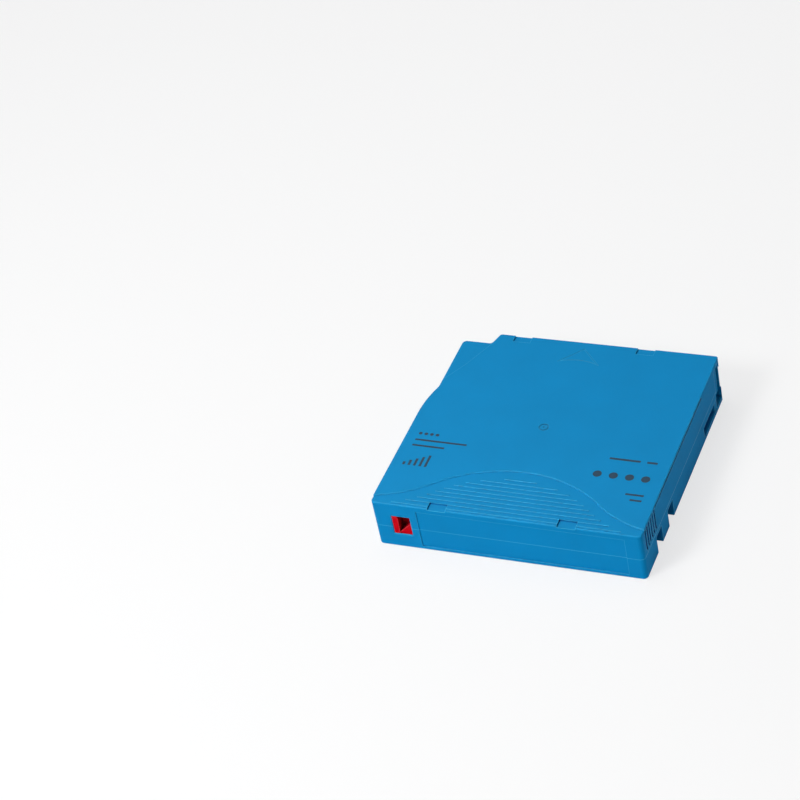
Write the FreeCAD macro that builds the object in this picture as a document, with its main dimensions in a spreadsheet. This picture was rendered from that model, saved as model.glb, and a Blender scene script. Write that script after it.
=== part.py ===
"""Single-reel half-inch data tape cartridge, built as a parametric FreeCAD document.

Frame: the origin is the centre of the footprint at the underside, +Z up, +Y the way the
cartridge goes into a drive, +X the side with the sliding tape door.  All lengths are mm.
The case is as large as the reel, its running gaps and the walls make it.
"""
import FreeCAD, Part
import math
import os
import types

import Sketcher

Vector = FreeCAD.Vector

# Driving sizes: alias, value, what it is.
SIZES = [
    # reel and the case around it
    ("flange_radius", 48.2, "radius of both reel flanges"),
    ("flange_thick", 1.0, "thickness of a reel flange"),
    ("flange_gap", 0.8, "flange rim to the front and rear walls"),
    ("left_gap", 1.4, "flange rim to the left wall"),
    ("right_gap", 3.6, "flange rim to the right wall, where the door runs"),
    ("lower_gap", 0.8, "case floor to the lower flange"),
    ("upper_gap", 2.1, "upper flange to the case roof"),
    ("tape_slot", 13.0, "space between the flanges"),
    ("wall", 2.0, "case side walls"),
    ("floor", 1.8, "floor of the lower shell"),
    ("roof", 1.8, "roof of the upper shell"),
    ("split", 9.7, "height of the joint between the shells"),
    # outline and edges of the case
    ("guide_inset", 2.7, "left wall steps in beside the insertion guide"),
    ("guide_setback", 6.0, "front wall steps back at the insertion guide"),
    ("guide_nose", 16.4, "left side to where the front face starts"),
    ("guide_slant", 1.8, "sideways run of the guide's slanting flank"),
    ("rear_round", 1.8, "upright corners at the rear and at the guide"),
    ("front_round", 0.9, "upright corner beside the tape opening"),
    ("nose_round", 1.4, "upright corners of the guide's flank"),
    ("top_round", 0.3, "upper rim"),
    ("rear_rim_round", 0.55, "upper rim behind the grip field"),
    ("base_round", 0.4, "lower rim"),
    # grip field on the roof
    ("grip_step", 0.45, "depth of the grip field"),
    ("bell_reach", 25.3, "rear face to the crown of the field's curved edge"),
    ("bell_radius", 50.0, "crown of the curved edge"),
    ("foot_radius", 43.0, "feet of the curved edge"),
    ("foot_reach", 2.8, "rear face to the lowest point of the feet's circles"),
    ("rib_inset", 4.2, "rib ends stop this far inside the curved edge"),
    ("rib_pitch", 2.14, "spacing of the finger ribs"),
    ("rib_start", 1.4, "rear face to the first rib"),
    ("rib_count", 10, "number of finger ribs"),
    ("rib_wide", 0.5, "width of a finger rib"),
    ("rib_high", 0.3, "height of a finger rib"),
    ("rib_bevel", 0.17, "bevel along the top of a finger rib"),
    ("bell_bevel", 0.3, "bevel along the field's curved edge"),
    # small marks on the roof
    ("edge_notch_wide", 7.1, "width of the picker notches"),
    ("edge_notch_long", 3.7, "length of the picker notches"),
    ("edge_notch_deep", 0.6, "depth of the picker notches"),
    ("edge_notch_space", 25.3, "reel axis to the middle of a picker notch"),
    ("arrow_tip", 3.8, "front face to the tip of the insertion arrow"),
    ("arrow_long", 9.0, "length of the insertion arrow"),
    ("arrow_wide", 17.0, "width of the insertion arrow"),
    ("arrow_curve", 20.0, "radius of the arrow's base"),
    ("arrow_line", 0.4, "width of the arrow's line"),
    ("mark_deep", 0.12, "depth of the engraved marks"),
    ("gate_radius", 1.9, "ring around the moulding gate"),
    ("gate_deep", 0.3, "depth of that ring"),
    ("guide_step", 0.25, "roof steps down at the insertion guide"),
    ("guide_step_rim", 0.4, "step to the flank of the insertion guide"),
    ("guide_step_wide", 6.0, "width of the step behind the insertion guide"),
    # rear face
    ("label_left", 17.8, "left side to the label field"),
    ("label_right", 6.7, "right side to the label field"),
    ("label_foot", 1.6, "underside to the label field"),
    ("label_head", 2.9, "roof to the label field"),
    ("label_deep", 0.3, "depth of the label field"),
    ("window_left", 7.2, "left side to the write-protect window"),
    ("window_wide", 7.4, "width of the window"),
    ("window_foot", 6.2, "underside to the window"),
    ("window_high", 8.7, "height of the window"),
    ("window_flare", 0.3, "bevel around the window"),
    ("window_wall", 0.6, "thinned rear wall around the window"),
    # right side
    ("line_deep", 0.9, "depth of the groove under the roof's edge"),
    ("line_high", 0.8, "height of that groove"),
    ("line_rear", 16.4, "rear face to that groove"),
    ("line_front", 24.0, "front face to that groove"),
    ("line_head", 0.6, "roof to that groove"),
    ("side_grip_count", 6, "number of side grip grooves"),
    ("side_grip_pitch", 2.2, "spacing of the side grip grooves"),
    ("side_grip_wide", 1.2, "width of a side grip groove"),
    ("side_grip_deep", 0.7, "depth of a side grip groove"),
    ("side_grip_start", 4.4, "rear face to the first side grip groove"),
    ("side_grip_foot", 11.0, "underside to the side grip grooves"),
    ("side_grip_head", 1.0, "roof to the side grip grooves"),
    ("notch_deep", 4.5, "depth of the handling notches"),
    ("notch_high", 7.9, "height of the handling notches"),
    ("notch_wide", 6.3, "width of the handling notches"),
    ("notch_first", 14.3, "rear face to the first handling notch"),
    ("notch_second", 28.5, "rear face to the second handling notch"),
    ("notch_wall", 1.2, "walls round the handling notches"),
    # tape door and its bay
    ("door_skin", 0.9, "case wall outside the door"),
    ("door_gap", 0.15, "running gap on each face of the door"),
    ("door_thick", 1.2, "thickness of the door"),
    ("door_long", 27.2, "length of the door"),
    ("door_end_gap", 0.3, "door to the floor and the roof"),
    ("door_front_gap", 1.5, "door to the front of its bay"),
    ("door_travel", 14.5, "travel of the door"),
    ("door_hem", 0.6, "door below the edge of the tape opening"),
    ("door_foot", 2.4, "length of the door's rear foot"),
    ("front_lip", 0.6, "front wall beside the tape opening"),
    ("front_lip_long", 10.7, "right side to where the front wall thins"),
    ("mouth_wide", 6.9, "width of the tape opening in the right wall"),
    ("mouth_foot", 6.5, "underside to the tape opening"),
    ("lip_back", 0.6, "front lip stops this far short of the right face"),
    ("lip_high", 10.3, "height of the cut-back in the front lip"),
    ("slot_foot", 2.0, "underside to the slot of the door's thumb tab"),
    ("tab_wide", 3.0, "width of the thumb tab"),
    ("tab_back", 7.5, "front face to the thumb tab"),
    ("tab_gap", 0.35, "thumb tab to the edges of its slot"),
    ("guide_rib_high", 1.4, "rib under the roof that holds the door against the wall"),
    ("guide_rib_wide", 0.9, "thickness of those ribs"),
    ("spring_bay", 17.0, "reel axis line to the fixed seat of the door spring"),
    ("spring_high", 10.4, "underside to the middle of the door spring"),
    ("seat_thick", 1.2, "seats of the door spring"),
    ("lug_reach", 2.7, "door lug, inward"),
    ("lug_front", 9.0, "front face to the front of the door lug"),
    ("lug_high", 2.8, "height of the door lug"),
    ("spigot_radius", 0.6, "spigot inside the door spring"),
    ("spigot_long", 5.5, "length of the spigot"),
    ("door_coil", 1.0, "mean radius of the door spring"),
    ("door_wire", 0.3, "wire of the door spring"),
    ("door_turns", 9, "turns of the door spring"),
    # ring rib, bosses and screws
    ("ring_gap", 1.2, "flange rim to the ring rib"),
    ("ring_wall", 1.0, "thickness of the ring rib"),
    ("gate_side", 21.5, "right side to where the ring rib opens for the tape"),
    ("gate_rear", 8.5, "reel axis line to the opening of the ring rib"),
    ("gate_front", 8.0, "front face to the opening of the ring rib"),
    ("boss_radius", 3.0, "screw bosses"),
    ("boss_rear", 11.8, "rear face to the rear bosses"),
    ("boss_side", 7.4, "left side to the rear left boss"),
    ("boss_nose", 8.4, "left side to the guide boss"),
    ("boss_right", 12.2, "right side to the rear right boss"),
    ("boss_guide", 12.5, "front face to the guide boss"),
    ("boss_front", 5.8, "front face to the boss beside the tape opening"),
    ("boss_mouth", 16.7, "right side to the boss beside the tape opening"),
    ("screw_radius", 1.2, "screw shank"),
    ("screw_fit", 0.05, "play of the shank in the upper boss"),
    ("screw_free", 0.3, "play of the shank in the lower boss"),
    ("screw_reach", 6.0, "shank above the joint of the shells"),
    ("head_radius", 2.1, "screw head"),
    ("head_thick", 1.4, "thickness of the screw head"),
    ("head_sink", 1.2, "underside to the screw head"),
    ("head_gap", 0.2, "play round the screw head"),
    ("drive_wide", 0.55, "width of the cross recess"),
    ("drive_long", 2.6, "length of the cross recess"),
    ("drive_deep", 0.8, "depth of the cross recess"),
    # locating holes
    ("datum_radius", 2.0, "round locating hole"),
    ("datum_deep", 4.0, "depth of the locating holes"),
    ("datum_wall", 1.0, "wall round the locating holes"),
    ("datum_left", 18.2, "left side to the round hole"),
    ("datum_right", 24.2, "right side to the middle of the slotted hole"),
    ("datum_front", 5.9, "front face to the locating holes"),
    ("datum_stretch", 1.0, "straight part of the slotted hole"),
    # hub
    ("hub_radius", 22.0, "winding face of the hub"),
    ("hub_wall", 2.5, "thickness of the hub's wall"),
    ("collar_wall", 1.1, "wall of the upper flange's collar"),
    ("collar_high", 1.0, "upper flange's collar below the flange"),
    ("collar_fit", 0.04, "play of the collar in the hub"),
    ("web_thick", 1.6, "floor of the hub"),
    ("rest_gap", 0.1, "hub's resting rim to the case floor"),
    ("gear_outer", 18.0, "outer radius of the drive gear"),
    ("gear_inner", 14.2, "inner radius of the drive gear"),
    ("gear_rise", 0.9, "tooth height of both gears"),
    ("gear_clear", 0.5, "tooth tips of the drive gear above the underside"),
    ("opening_gap", 0.6, "drive gear to the opening in the floor"),
    ("rim_wide", 2.5, "resting rim outside the drive gear"),
    ("drive_teeth", 60, "teeth of the drive gear"),
    ("brake_teeth", 36, "teeth of the brake gear"),
    ("drive_tooth", 1.25, "width of a drive tooth at its root"),
    ("brake_tooth", 1.9, "width of a brake tooth at its root"),
    ("tooth_tip", 0.4, "width of a tooth at its tip"),
    ("tooth_inset", 0.1, "ends of a tooth to the edges of its ring"),
    ("plate_inner", 6.0, "hole of the steel drive plate"),
    ("plate_thick", 1.0, "thickness of the steel drive plate"),
    ("plate_gap", 0.3, "drive plate to the drive gear"),
    # brake and release pad
    ("track_inner", 15.2, "inner radius of the brake gear"),
    ("track_outer", 18.4, "outer radius of the brake gear"),
    ("track_high", 1.7, "height of the brake gear's pedestals"),
    ("track_open", 40.0, "angle left open for each arm of the release pad"),
    ("mesh_gap", 0.1, "tooth tips to tooth roots in the brake gear"),
    ("brake_thick", 1.3, "thickness of the brake disc"),
    ("brake_gap", 0.7, "brake disc to the hub's wall"),
    ("socket_radius", 5.2, "socket on the brake disc"),
    ("socket_high", 5.0, "height of the socket"),
    ("key_long", 7.0, "arms of the cross key, tip to tip"),
    ("key_wide", 1.8, "thickness of the cross key"),
    ("key_gap", 0.2, "cross key to its socket"),
    ("key_base", 0.7, "plastic left under the socket"),
    ("lift", 1.6, "travel of the brake"),
    ("leg_circle", 16.1, "radius on which the legs stand"),
    ("leg_radius", 1.45, "legs of the release pad"),
    ("leg_gap", 0.25, "legs to their holes"),
    ("arm_wide", 4.4, "arms of the release pad"),
    ("arm_thick", 1.2, "thickness of the release pad"),
    ("arm_gap", 0.3, "release pad to the floor of the hub"),
    ("pad_button", 3.0, "button in the middle of the release pad"),
    ("button_gap", 0.05, "button to the brake disc"),
    ("brake_coil", 7.6, "mean radius of the brake spring"),
    ("brake_wire", 0.7, "wire of the brake spring"),
    ("brake_turns", 4, "turns of the brake spring"),
    ("seat_ring", 0.8, "height and wall of the spring seat under the roof"),
    # tape, leader pin and its holders
    ("tape_wide", 12.65, "width of the tape"),
    ("pack_margin", 1.3, "flange rim to the outside of the wound tape"),
    ("strip_thick", 0.12, "free end of the tape"),
    ("strip_start", 6.0, "reel axis line to the start of the free end"),
    ("pin_side", 6.4, "right side to the leader pin"),
    ("pin_front", 5.4, "front face to the leader pin"),
    ("pin_radius", 1.2, "leader pin"),
    ("pin_collar", 2.2, "collars of the leader pin"),
    ("collar_thick", 0.7, "thickness of the collars"),
    ("collar_gap", 0.25, "tape edge to the collars"),
    ("pin_end_gap", 0.2, "leader pin to the floor and the roof"),
    ("stand_wall", 1.1, "wall of the pin stands"),
    ("stand_high", 0.8, "height of the pin stands"),
    ("stand_gap", 0.3, "leader pin to its stands"),
    ("clip_wall", 0.7, "wall of the tape clip"),
    ("clip_gap", 0.04, "tape clip to the leader pin"),
    ("leaf_thick", 0.25, "sheet of the pin spring"),
    ("leaf_wide", 0.7, "height of the arms of the pin spring"),
    ("leaf_gap", 0.15, "pin spring to the front wall"),
    ("leaf_back", 3.4, "length of the pin spring along the front wall"),
    # write-protect slide
    ("slide_foot", 5.2, "underside to the write-protect slide"),
    ("slide_high", 11.2, "height of the slide"),
    ("slide_left", 6.1, "left side to the slide"),
    ("slide_wide", 9.9, "width of the slide"),
    ("slide_deep", 4.8, "depth of the slide"),
    ("slide_gap", 0.15, "slide to the wall and its rails"),
    ("slide_finger", 2.2, "width of the finger flange"),
    ("slide_lip", 0.55, "rim round the slide's well"),
    ("slide_proud", 0.4, "finger flange stands this far into the window"),
    ("well_deep", 3.6, "depth of the slide's well"),
    ("well_foot", 1.7, "foot of the slide to the well's lowest corner"),
    ("well_side", 7.2, "foot of the slide to the well's right corner"),
    ("slide_travel", 4.6, "travel of the slide"),
    ("rail_thick", 1.0, "rail behind the slide"),
    # cartridge memory
    ("board_long", 10.5, "memory board"),
    ("board_wide", 8.0, "width of the memory board"),
    ("board_thick", 0.8, "thickness of the memory board"),
    ("board_side", 2.9, "right side to the memory board"),
    ("board_rear", 5.4, "rear face to the middle of the memory board"),
    ("board_mid", 5.0, "underside to the middle of the memory board"),
    ("chip_side", 3.2, "memory chip"),
    ("chip_thick", 0.6, "thickness of the memory chip"),
    ("prop_wide", 1.0, "ribs under the memory board"),
]


# ---------------------------------------------------------------------------------------
# sizes that keep their expression
# ---------------------------------------------------------------------------------------
class Size:
    """A number together with the sheet expression that it comes from."""

    def __init__(self, value, text):
        self.value = float(value)
        self.text = text

    def __add__(self, other):
        other = as_size(other)
        return Size(self.value + other.value, "(%s + %s)" % (self.text, other.text))

    def __radd__(self, other):
        return as_size(other) + self

    def __sub__(self, other):
        other = as_size(other)
        return Size(self.value - other.value, "(%s - %s)" % (self.text, other.text))

    def __rsub__(self, other):
        return as_size(other) - self

    def __mul__(self, other):
        other = as_size(other)
        return Size(self.value * other.value, "(%s * %s)" % (self.text, other.text))

    def __rmul__(self, other):
        return as_size(other) * self

    def __truediv__(self, other):
        other = as_size(other)
        return Size(self.value / other.value, "(%s / %s)" % (self.text, other.text))

    def __rtruediv__(self, other):
        return as_size(other) / self

    def __neg__(self):
        return Size(-self.value, "(0 - %s)" % self.text)


def as_size(number):
    """A plain number as a Size; a Size stays what it is."""
    if isinstance(number, Size):
        return number
    return Size(number, repr(float(number)))


def root(size):
    """The square root of a Size."""
    return Size(math.sqrt(size.value), "sqrt(%s)" % size.text)


def leg(slope, side):
    """The other short side of a right triangle, from its long side and one short side."""
    return root(slope * slope - side * side)


def write_sheet(doc):
    """Write the driving sizes into the sheet and return them as Size values."""
    sheet = doc.addObject("Spreadsheet::Sheet", "Sizes")
    for row, (alias, value, note) in enumerate(SIZES, start=1):
        sheet.set("A%d" % row, note)
        sheet.set("B%d" % row, str(value))
        sheet.setAlias("B%d" % row, alias)
    doc.recompute()
    return types.SimpleNamespace(
        **{alias: Size(sheet.get(alias), "Sizes." + alias) for alias, value, note in SIZES}
    )


DOC = FreeCAD.newDocument("TapeCartridge")
S = write_sheet(DOC)

# Places worked out from the driving sizes.
HALF_WIDTH = S.flange_radius + S.wall + (S.left_gap + S.right_gap) / 2
HALF_DEPTH = S.flange_radius + S.wall + S.flange_gap
REEL_X = (S.left_gap - S.right_gap) / 2
FLANGE_Z = S.floor + S.lower_gap
SLOT_Z = FLANGE_Z + S.flange_thick
UPPER_Z = SLOT_Z + S.tape_slot
CEILING = UPPER_Z + S.flange_thick + S.upper_gap
HEIGHT = CEILING + S.roof
TAPE_Z = SLOT_Z + (S.tape_slot - S.tape_wide) / 2
RING_RADIUS = S.flange_radius + S.ring_gap

DOOR_OUT = HALF_WIDTH - S.door_skin - S.door_gap
DOOR_IN = DOOR_OUT - S.door_thick
BAY_FRONT = HALF_DEPTH - S.front_lip
DOOR_FRONT = BAY_FRONT - S.door_front_gap
DOOR_REAR = DOOR_FRONT - S.door_long
SLIDE_FACE = S.window_wall + S.slide_gap - HALF_DEPTH
MOUTH_REAR = BAY_FRONT - S.mouth_wide
TAB_FRONT = HALF_DEPTH - S.tab_back
PIN_X = HALF_WIDTH - S.pin_side
PIN_Y = HALF_DEPTH - S.pin_front

BOSSES = [
    (S.boss_side - HALF_WIDTH, S.boss_rear - HALF_DEPTH),
    (HALF_WIDTH - S.boss_right, S.boss_rear - HALF_DEPTH),
    (S.boss_nose - HALF_WIDTH, HALF_DEPTH - S.boss_guide),
    (HALF_WIDTH - S.boss_mouth, HALF_DEPTH - S.boss_front),
]

ZERO = as_size(0.0)
OVERSHOOT = as_size(1.0)  # how far a cutting outline runs past the face that it opens
BITE = as_size(0.2)  # how deep a tooth's root sits in the ring that carries it
TOUCH = 0.01  # two coordinates this close are the same
HALF_CIRCLE_SLACK = 0.001  # keeps a half circle's radius a hair over half its chord
TILT = math.sqrt(0.5)  # sine and cosine of the memory board's 45 degree slope
COIL_STEPS = 12  # straight lengths in a turn of a coil spring
WIRE_SIDES = 6  # sides of a spring's wire


# ---------------------------------------------------------------------------------------
# sketch outlines
# ---------------------------------------------------------------------------------------
def circle(x, y, radius):
    """A full circle, as a function that draws it into a sketch."""
    x, y, radius = as_size(x), as_size(y), as_size(radius)

    def draw(sketch):
        ring = Part.Circle(Vector(x.value, y.value, 0), Vector(0, 0, 1), radius.value)
        index = sketch.addGeometry(ring, False)
        bind_point(sketch, index, 3, x, y)
        bind(sketch, Sketcher.Constraint("Radius", index, radius.value), radius)

    return draw


def path(*corners):
    """A closed outline through corners (x, y).

    A corner (x, y, radius, turn) starts an arc to the next corner, where turn is 1 for
    an arc that turns left and -1 for one that turns right.
    """

    def draw(sketch):
        points = [(as_size(corner[0]), as_size(corner[1])) for corner in corners]
        first_side = sketch.GeometryCount
        ends = []
        for index, corner in enumerate(corners):
            start = Vector(points[index][0].value, points[index][1].value, 0)
            following = points[(index + 1) % len(points)]
            stop = Vector(following[0].value, following[1].value, 0)
            if len(corner) == 2:
                sketch.addGeometry(Part.LineSegment(start, stop), False)
                ends.append((1, 2))
                continue
            radius, turn = as_size(corner[2]), corner[3]
            sketch.addGeometry(arc_between(start, stop, radius.value, turn), False)
            ends.append((1, 2) if turn > 0 else (2, 1))
        for index, corner in enumerate(corners):
            side = first_side + index
            following = (index + 1) % len(corners)
            joint = ("Coincident", side, ends[index][1], first_side + following, ends[following][0])
            sketch.addConstraint(Sketcher.Constraint(*joint))
            bind_point(sketch, side, ends[index][0], *points[index])
            if len(corner) > 2:
                radius = as_size(corner[2])
                bind(sketch, Sketcher.Constraint("Radius", side, radius.value), radius)

    return draw


def rectangle(x0, y0, x1, y1):
    """A rectangle between two opposite corners."""
    return path((x0, y0), (x1, y0), (x1, y1), (x0, y1))


def arc_between(start, stop, radius, turn):
    """The shorter arc of a radius from start to stop, turning left (1) or right (-1)."""
    chord = stop - start
    left = Vector(-chord.y, chord.x, 0).normalize()
    rise = math.sqrt(max(radius * radius - chord.Length * chord.Length / 4, 0.0))
    centre = (start + stop) / 2 + left * rise * turn
    first, last = (start, stop) if turn > 0 else (stop, start)
    angles = [math.atan2(point.y - centre.y, point.x - centre.x) for point in (first, last)]
    return Part.ArcOfCircle(Part.Circle(centre, Vector(0, 0, 1), radius), *angles)


def bind(sketch, constraint, size):
    """Add a constraint and tie its value to the sheet."""
    index = sketch.addConstraint(constraint)
    sketch.setExpression("Constraints[%d]" % index, size.text)


def bind_point(sketch, index, end, x, y):
    """Fix a point of a sketch by its distances from the sketch's origin."""
    bind(sketch, Sketcher.Constraint("DistanceX", -1, 1, index, end, x.value), x)
    bind(sketch, Sketcher.Constraint("DistanceY", -1, 1, index, end, y.value), y)


# ---------------------------------------------------------------------------------------
# features
# ---------------------------------------------------------------------------------------
# plane of a body: role of its origin feature, and the sign of its normal along the axis
PLANES = {"plan": ("XY_Plane", 1), "rear": ("XZ_Plane", -1), "side": ("YZ_Plane", 1)}


def new_body(name):
    """A named body of the document."""
    body = DOC.addObject("PartDesign::Body", name)
    body.Label = name
    return body


def origin_feature(body, role):
    """The plane or axis of a body's own origin that has a role."""
    return next(item for item in body.Origin.OriginFeatures if item.Role == role)


def add_sketch(body, name, plane, level, outlines):
    """A sketch on a plane of the body, level along the world axis across that plane."""
    role, facing = PLANES[plane]
    sketch = body.newObject("Sketcher::SketchObject", name + "_sketch")
    sketch.AttachmentSupport = [(origin_feature(body, role), "")]
    sketch.MapMode = "FlatFace"
    offset = as_size(level) if facing > 0 else -as_size(level)
    sketch.setExpression(".AttachmentOffset.Base.z", offset.text)
    for draw in outlines:
        draw(sketch)
    return sketch


def extrude(kind, body, name, plane, start, end, outlines):
    """A pad or pocket of the outlines from one level to another."""
    start, end = as_size(start), as_size(end)
    facing = PLANES[plane][1]
    rising = end.value > start.value
    feature = body.newObject("PartDesign::" + kind, name)
    feature.Profile = add_sketch(body, name, plane, start, outlines)
    feature.setExpression("Length", (end - start if rising else start - end).text)
    along_normal = rising == (facing > 0)
    feature.Reversed = along_normal if kind == "Pocket" else not along_normal
    return feature


def pad(body, name, plane, start, end, *outlines):
    """Add material between two levels."""
    return extrude("Pad", body, name, plane, start, end, outlines)


def pocket(body, name, plane, start, end, *outlines):
    """Cut material away between two levels."""
    return extrude("Pocket", body, name, plane, start, end, outlines)


def revolve(body, name, *outlines):
    """Turn an outline drawn in radius and height about the body's upright axis."""
    feature = body.newObject("PartDesign::Revolution", name)
    feature.Profile = add_sketch(body, name, "rear", ZERO, outlines)
    feature.ReferenceAxis = (origin_feature(body, "Z_Axis"), [""])
    feature.Angle = 360
    return feature


def around(body, name, feature, count):
    """Repeat a feature evenly about the body's upright axis."""
    pattern = body.newObject("PartDesign::PolarPattern", name)
    pattern.Originals = [feature]
    pattern.Axis = (origin_feature(body, "Z_Axis"), [""])
    pattern.Angle = 360
    if isinstance(count, Size):
        pattern.setExpression("Occurrences", count.text)
    else:
        pattern.Occurrences = count
    body.Tip = pattern
    return pattern


def dress_edges(kind, body, name, test):
    """A fillet or chamfer of the edges of the body's last feature that pass a test."""
    DOC.recompute()
    base = body.Tip
    names = ["Edge%d" % number for number, edge in enumerate(base.Shape.Edges, 1) if test(edge)]
    feature = body.newObject("PartDesign::" + kind, name)
    feature.Base = (base, names)
    return feature


def round_edges(body, name, radius, test):
    """Fillet the edges of the body's last feature that pass a test."""
    feature = dress_edges("Fillet", body, name, test)
    feature.setExpression("Radius", radius.text)
    return feature


def bevel_edges(body, name, size, test):
    """Chamfer the edges of the body's last feature that pass a test."""
    feature = dress_edges("Chamfer", body, name, test)
    feature.setExpression("Size", size.text)
    return feature


def place(body, x, y, z=ZERO):
    """Put a body at a place worked out from the sheet."""
    for axis, size in (("x", x), ("y", y), ("z", z)):
        body.setExpression("Placement.Base." + axis, as_size(size).text)


def near(number, size):
    """Whether a coordinate lies at a size."""
    return abs(number - size.value) < TOUCH


def middle(edge):
    """The point halfway along an edge."""
    return edge.valueAt((edge.FirstParameter + edge.LastParameter) / 2)


def upright_at(*places):
    """A test for upright edges that stand at one of the given (x, y) places."""

    def test(edge):
        point = middle(edge)
        upright = abs(edge.BoundBox.ZLength - edge.Length) < TOUCH
        return upright and any(near(point.x, x) and near(point.y, y) for x, y in places)

    return test


def level_at(z):
    """A test for edges that lie flat at a height."""
    return lambda edge: near(edge.BoundBox.ZMin, z) and near(edge.BoundBox.ZMax, z)


# ---------------------------------------------------------------------------------------
# outlines that the two shells share
# ---------------------------------------------------------------------------------------
def case_corners(inset):
    """Corners of the case's plan, drawn inward by inset."""
    inset = as_size(inset)
    left = inset - HALF_WIDTH
    right = HALF_WIDTH - inset
    rear = inset - HALF_DEPTH
    front = HALF_DEPTH - inset
    guide_left = left + S.guide_inset
    guide_front = front - S.guide_setback
    nose = S.guide_nose - HALF_WIDTH + inset
    sweep = S.flange_radius + S.left_gap + S.wall - inset
    return [
        (left, rear),
        (right, rear),
        (right, front),
        (nose, front),
        (nose - S.guide_slant, guide_front),
        (guide_left, guide_front),
        (guide_left, leg(sweep, guide_left - REEL_X), sweep, 1),
        (left, ZERO),
    ]


def case_plan(inset):
    """Plan of the case, drawn inward by inset."""
    return path(*case_corners(inset))


def bell_curve(inset=ZERO):
    """Arcs of the grip field's curved edge, drawn inward by inset, for its right half."""
    crown_y = S.bell_reach - HALF_DEPTH - S.bell_radius
    foot_y = S.foot_reach - HALF_DEPTH + S.foot_radius
    both = S.bell_radius + S.foot_radius
    foot_x = leg(both, foot_y - crown_y)
    share = (S.bell_radius - inset) / both
    return types.SimpleNamespace(
        crown_radius=S.bell_radius - inset,
        foot_radius=S.foot_radius + inset,
        crown_y=crown_y,
        foot_x=foot_x,
        foot_y=foot_y,
        join_x=foot_x * share,
        join_y=crown_y + (foot_y - crown_y) * share,
    )


def grip_field():
    """Outline of the lowered grip field, past the edges of the case on three sides."""
    bell = bell_curve()
    side = HALF_WIDTH + OVERSHOOT
    rear = -HALF_DEPTH - OVERSHOOT
    end_y = bell.foot_y - leg(bell.foot_radius, bell.foot_x - side)
    return path(
        (-side, rear),
        (side, rear),
        (side, end_y, bell.foot_radius, -1),
        (bell.join_x, bell.join_y, bell.crown_radius, 1),
        (-bell.join_x, bell.join_y, bell.foot_radius, -1),
        (-side, end_y),
    )


def finger_ribs():
    """Ribs across the grip field, each as long as the curved edge leaves room for."""
    bell = bell_curve(S.rib_inset)
    ribs = []
    for number in range(int(S.rib_count.value)):
        y = S.rib_start + S.rib_pitch * number - HALF_DEPTH
        if y.value > bell.join_y.value:
            reach = leg(bell.crown_radius, y - bell.crown_y)
        else:
            reach = bell.foot_x - leg(bell.foot_radius, bell.foot_y - y)
        half = S.rib_wide / 2
        ribs.append(rectangle(-reach, y - half, reach, y + half))
    return ribs


def edge_notches(y0, y1):
    """The two picker notches at one edge of the roof."""
    half = S.edge_notch_wide / 2
    middles = (REEL_X - S.edge_notch_space, REEL_X + S.edge_notch_space)
    return [rectangle(x - half, y0, x + half, y1) for x in middles]


def arrow_loop(inset):
    """The insertion arrow's outline, drawn inward by inset about its inscribed circle."""
    base_y = HALF_DEPTH - S.arrow_tip - S.arrow_long
    half = S.arrow_wide / 2
    flank = root(half * half + S.arrow_long * S.arrow_long)
    inscribed = half * S.arrow_long / (half + flank)
    scale = 1 - inset / inscribed
    middle_y = base_y + inscribed
    return path(
        (ZERO, middle_y + (S.arrow_long - inscribed) * scale),
        (-half * scale, middle_y - inscribed * scale, S.arrow_curve * scale, -1),
        (half * scale, middle_y - inscribed * scale),
    )


def window():
    """The write-protect window, in x and z."""
    left = S.window_left - HALF_WIDTH
    return rectangle(left, S.window_foot, left + S.window_wide, S.window_foot + S.window_high)


def slide_bay():
    """Room of the write-protect slide behind the window, in x and z."""
    left = S.slide_left - S.slide_gap - HALF_WIDTH
    right = left + S.slide_wide + S.slide_travel + S.slide_gap * 2
    foot = S.slide_foot - S.slide_gap
    return rectangle(left, foot, right, foot + S.slide_high + S.slide_gap * 2)


def on_window_rim(edge):
    """Whether an edge belongs to the outer rim of the write-protect window."""
    point = middle(edge)
    left = S.window_left - HALF_WIDTH
    right = left + S.window_wide
    top = S.window_foot + S.window_high
    in_rear_face = near(edge.BoundBox.YMin, -HALF_DEPTH) and near(edge.BoundBox.YMax, -HALF_DEPTH)
    beside = near(point.x, left) or near(point.x, right)
    over_or_under = near(point.z, S.window_foot) or near(point.z, top)
    between = left.value - TOUCH < point.x < right.value + TOUCH
    return in_rear_face and between and (beside or over_or_under)


def label_field():
    """The label field of the rear face, in x and z."""
    return rectangle(
        S.label_left - HALF_WIDTH, S.label_foot, HALF_WIDTH - S.label_right, HEIGHT - S.label_head
    )


def on_bell_curve(edge):
    """Whether an edge of the roof is part of the grip field's curved edge."""
    point = middle(edge)
    return level_at(HEIGHT)(edge) and behind_crown(point) and inside_case(point)


def behind_crown(point):
    """Whether a point lies no further forward than the crown of the bevelled curve."""
    return point.y < (S.bell_reach + S.bell_bevel - HALF_DEPTH).value + TOUCH


def inside_case(point):
    """Whether a point lies between the planes of the side faces."""
    return abs(point.x) < HALF_WIDTH.value - TOUCH


# ---------------------------------------------------------------------------------------
# case
# ---------------------------------------------------------------------------------------
def round_uprights(shell):
    """Round the upright corners of a shell."""
    corners = [(as_size(corner[0]), as_size(corner[1])) for corner in case_corners(ZERO)]
    rear_left, rear_right, front_right, nose, flank, guide = corners[:6]
    round_edges(shell, "rear_rounds", S.rear_round, upright_at(rear_left, rear_right, guide))
    round_edges(shell, "front_rounds", S.front_round, upright_at(front_right))
    round_edges(shell, "nose_rounds", S.nose_round, upright_at(nose, flank))


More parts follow.
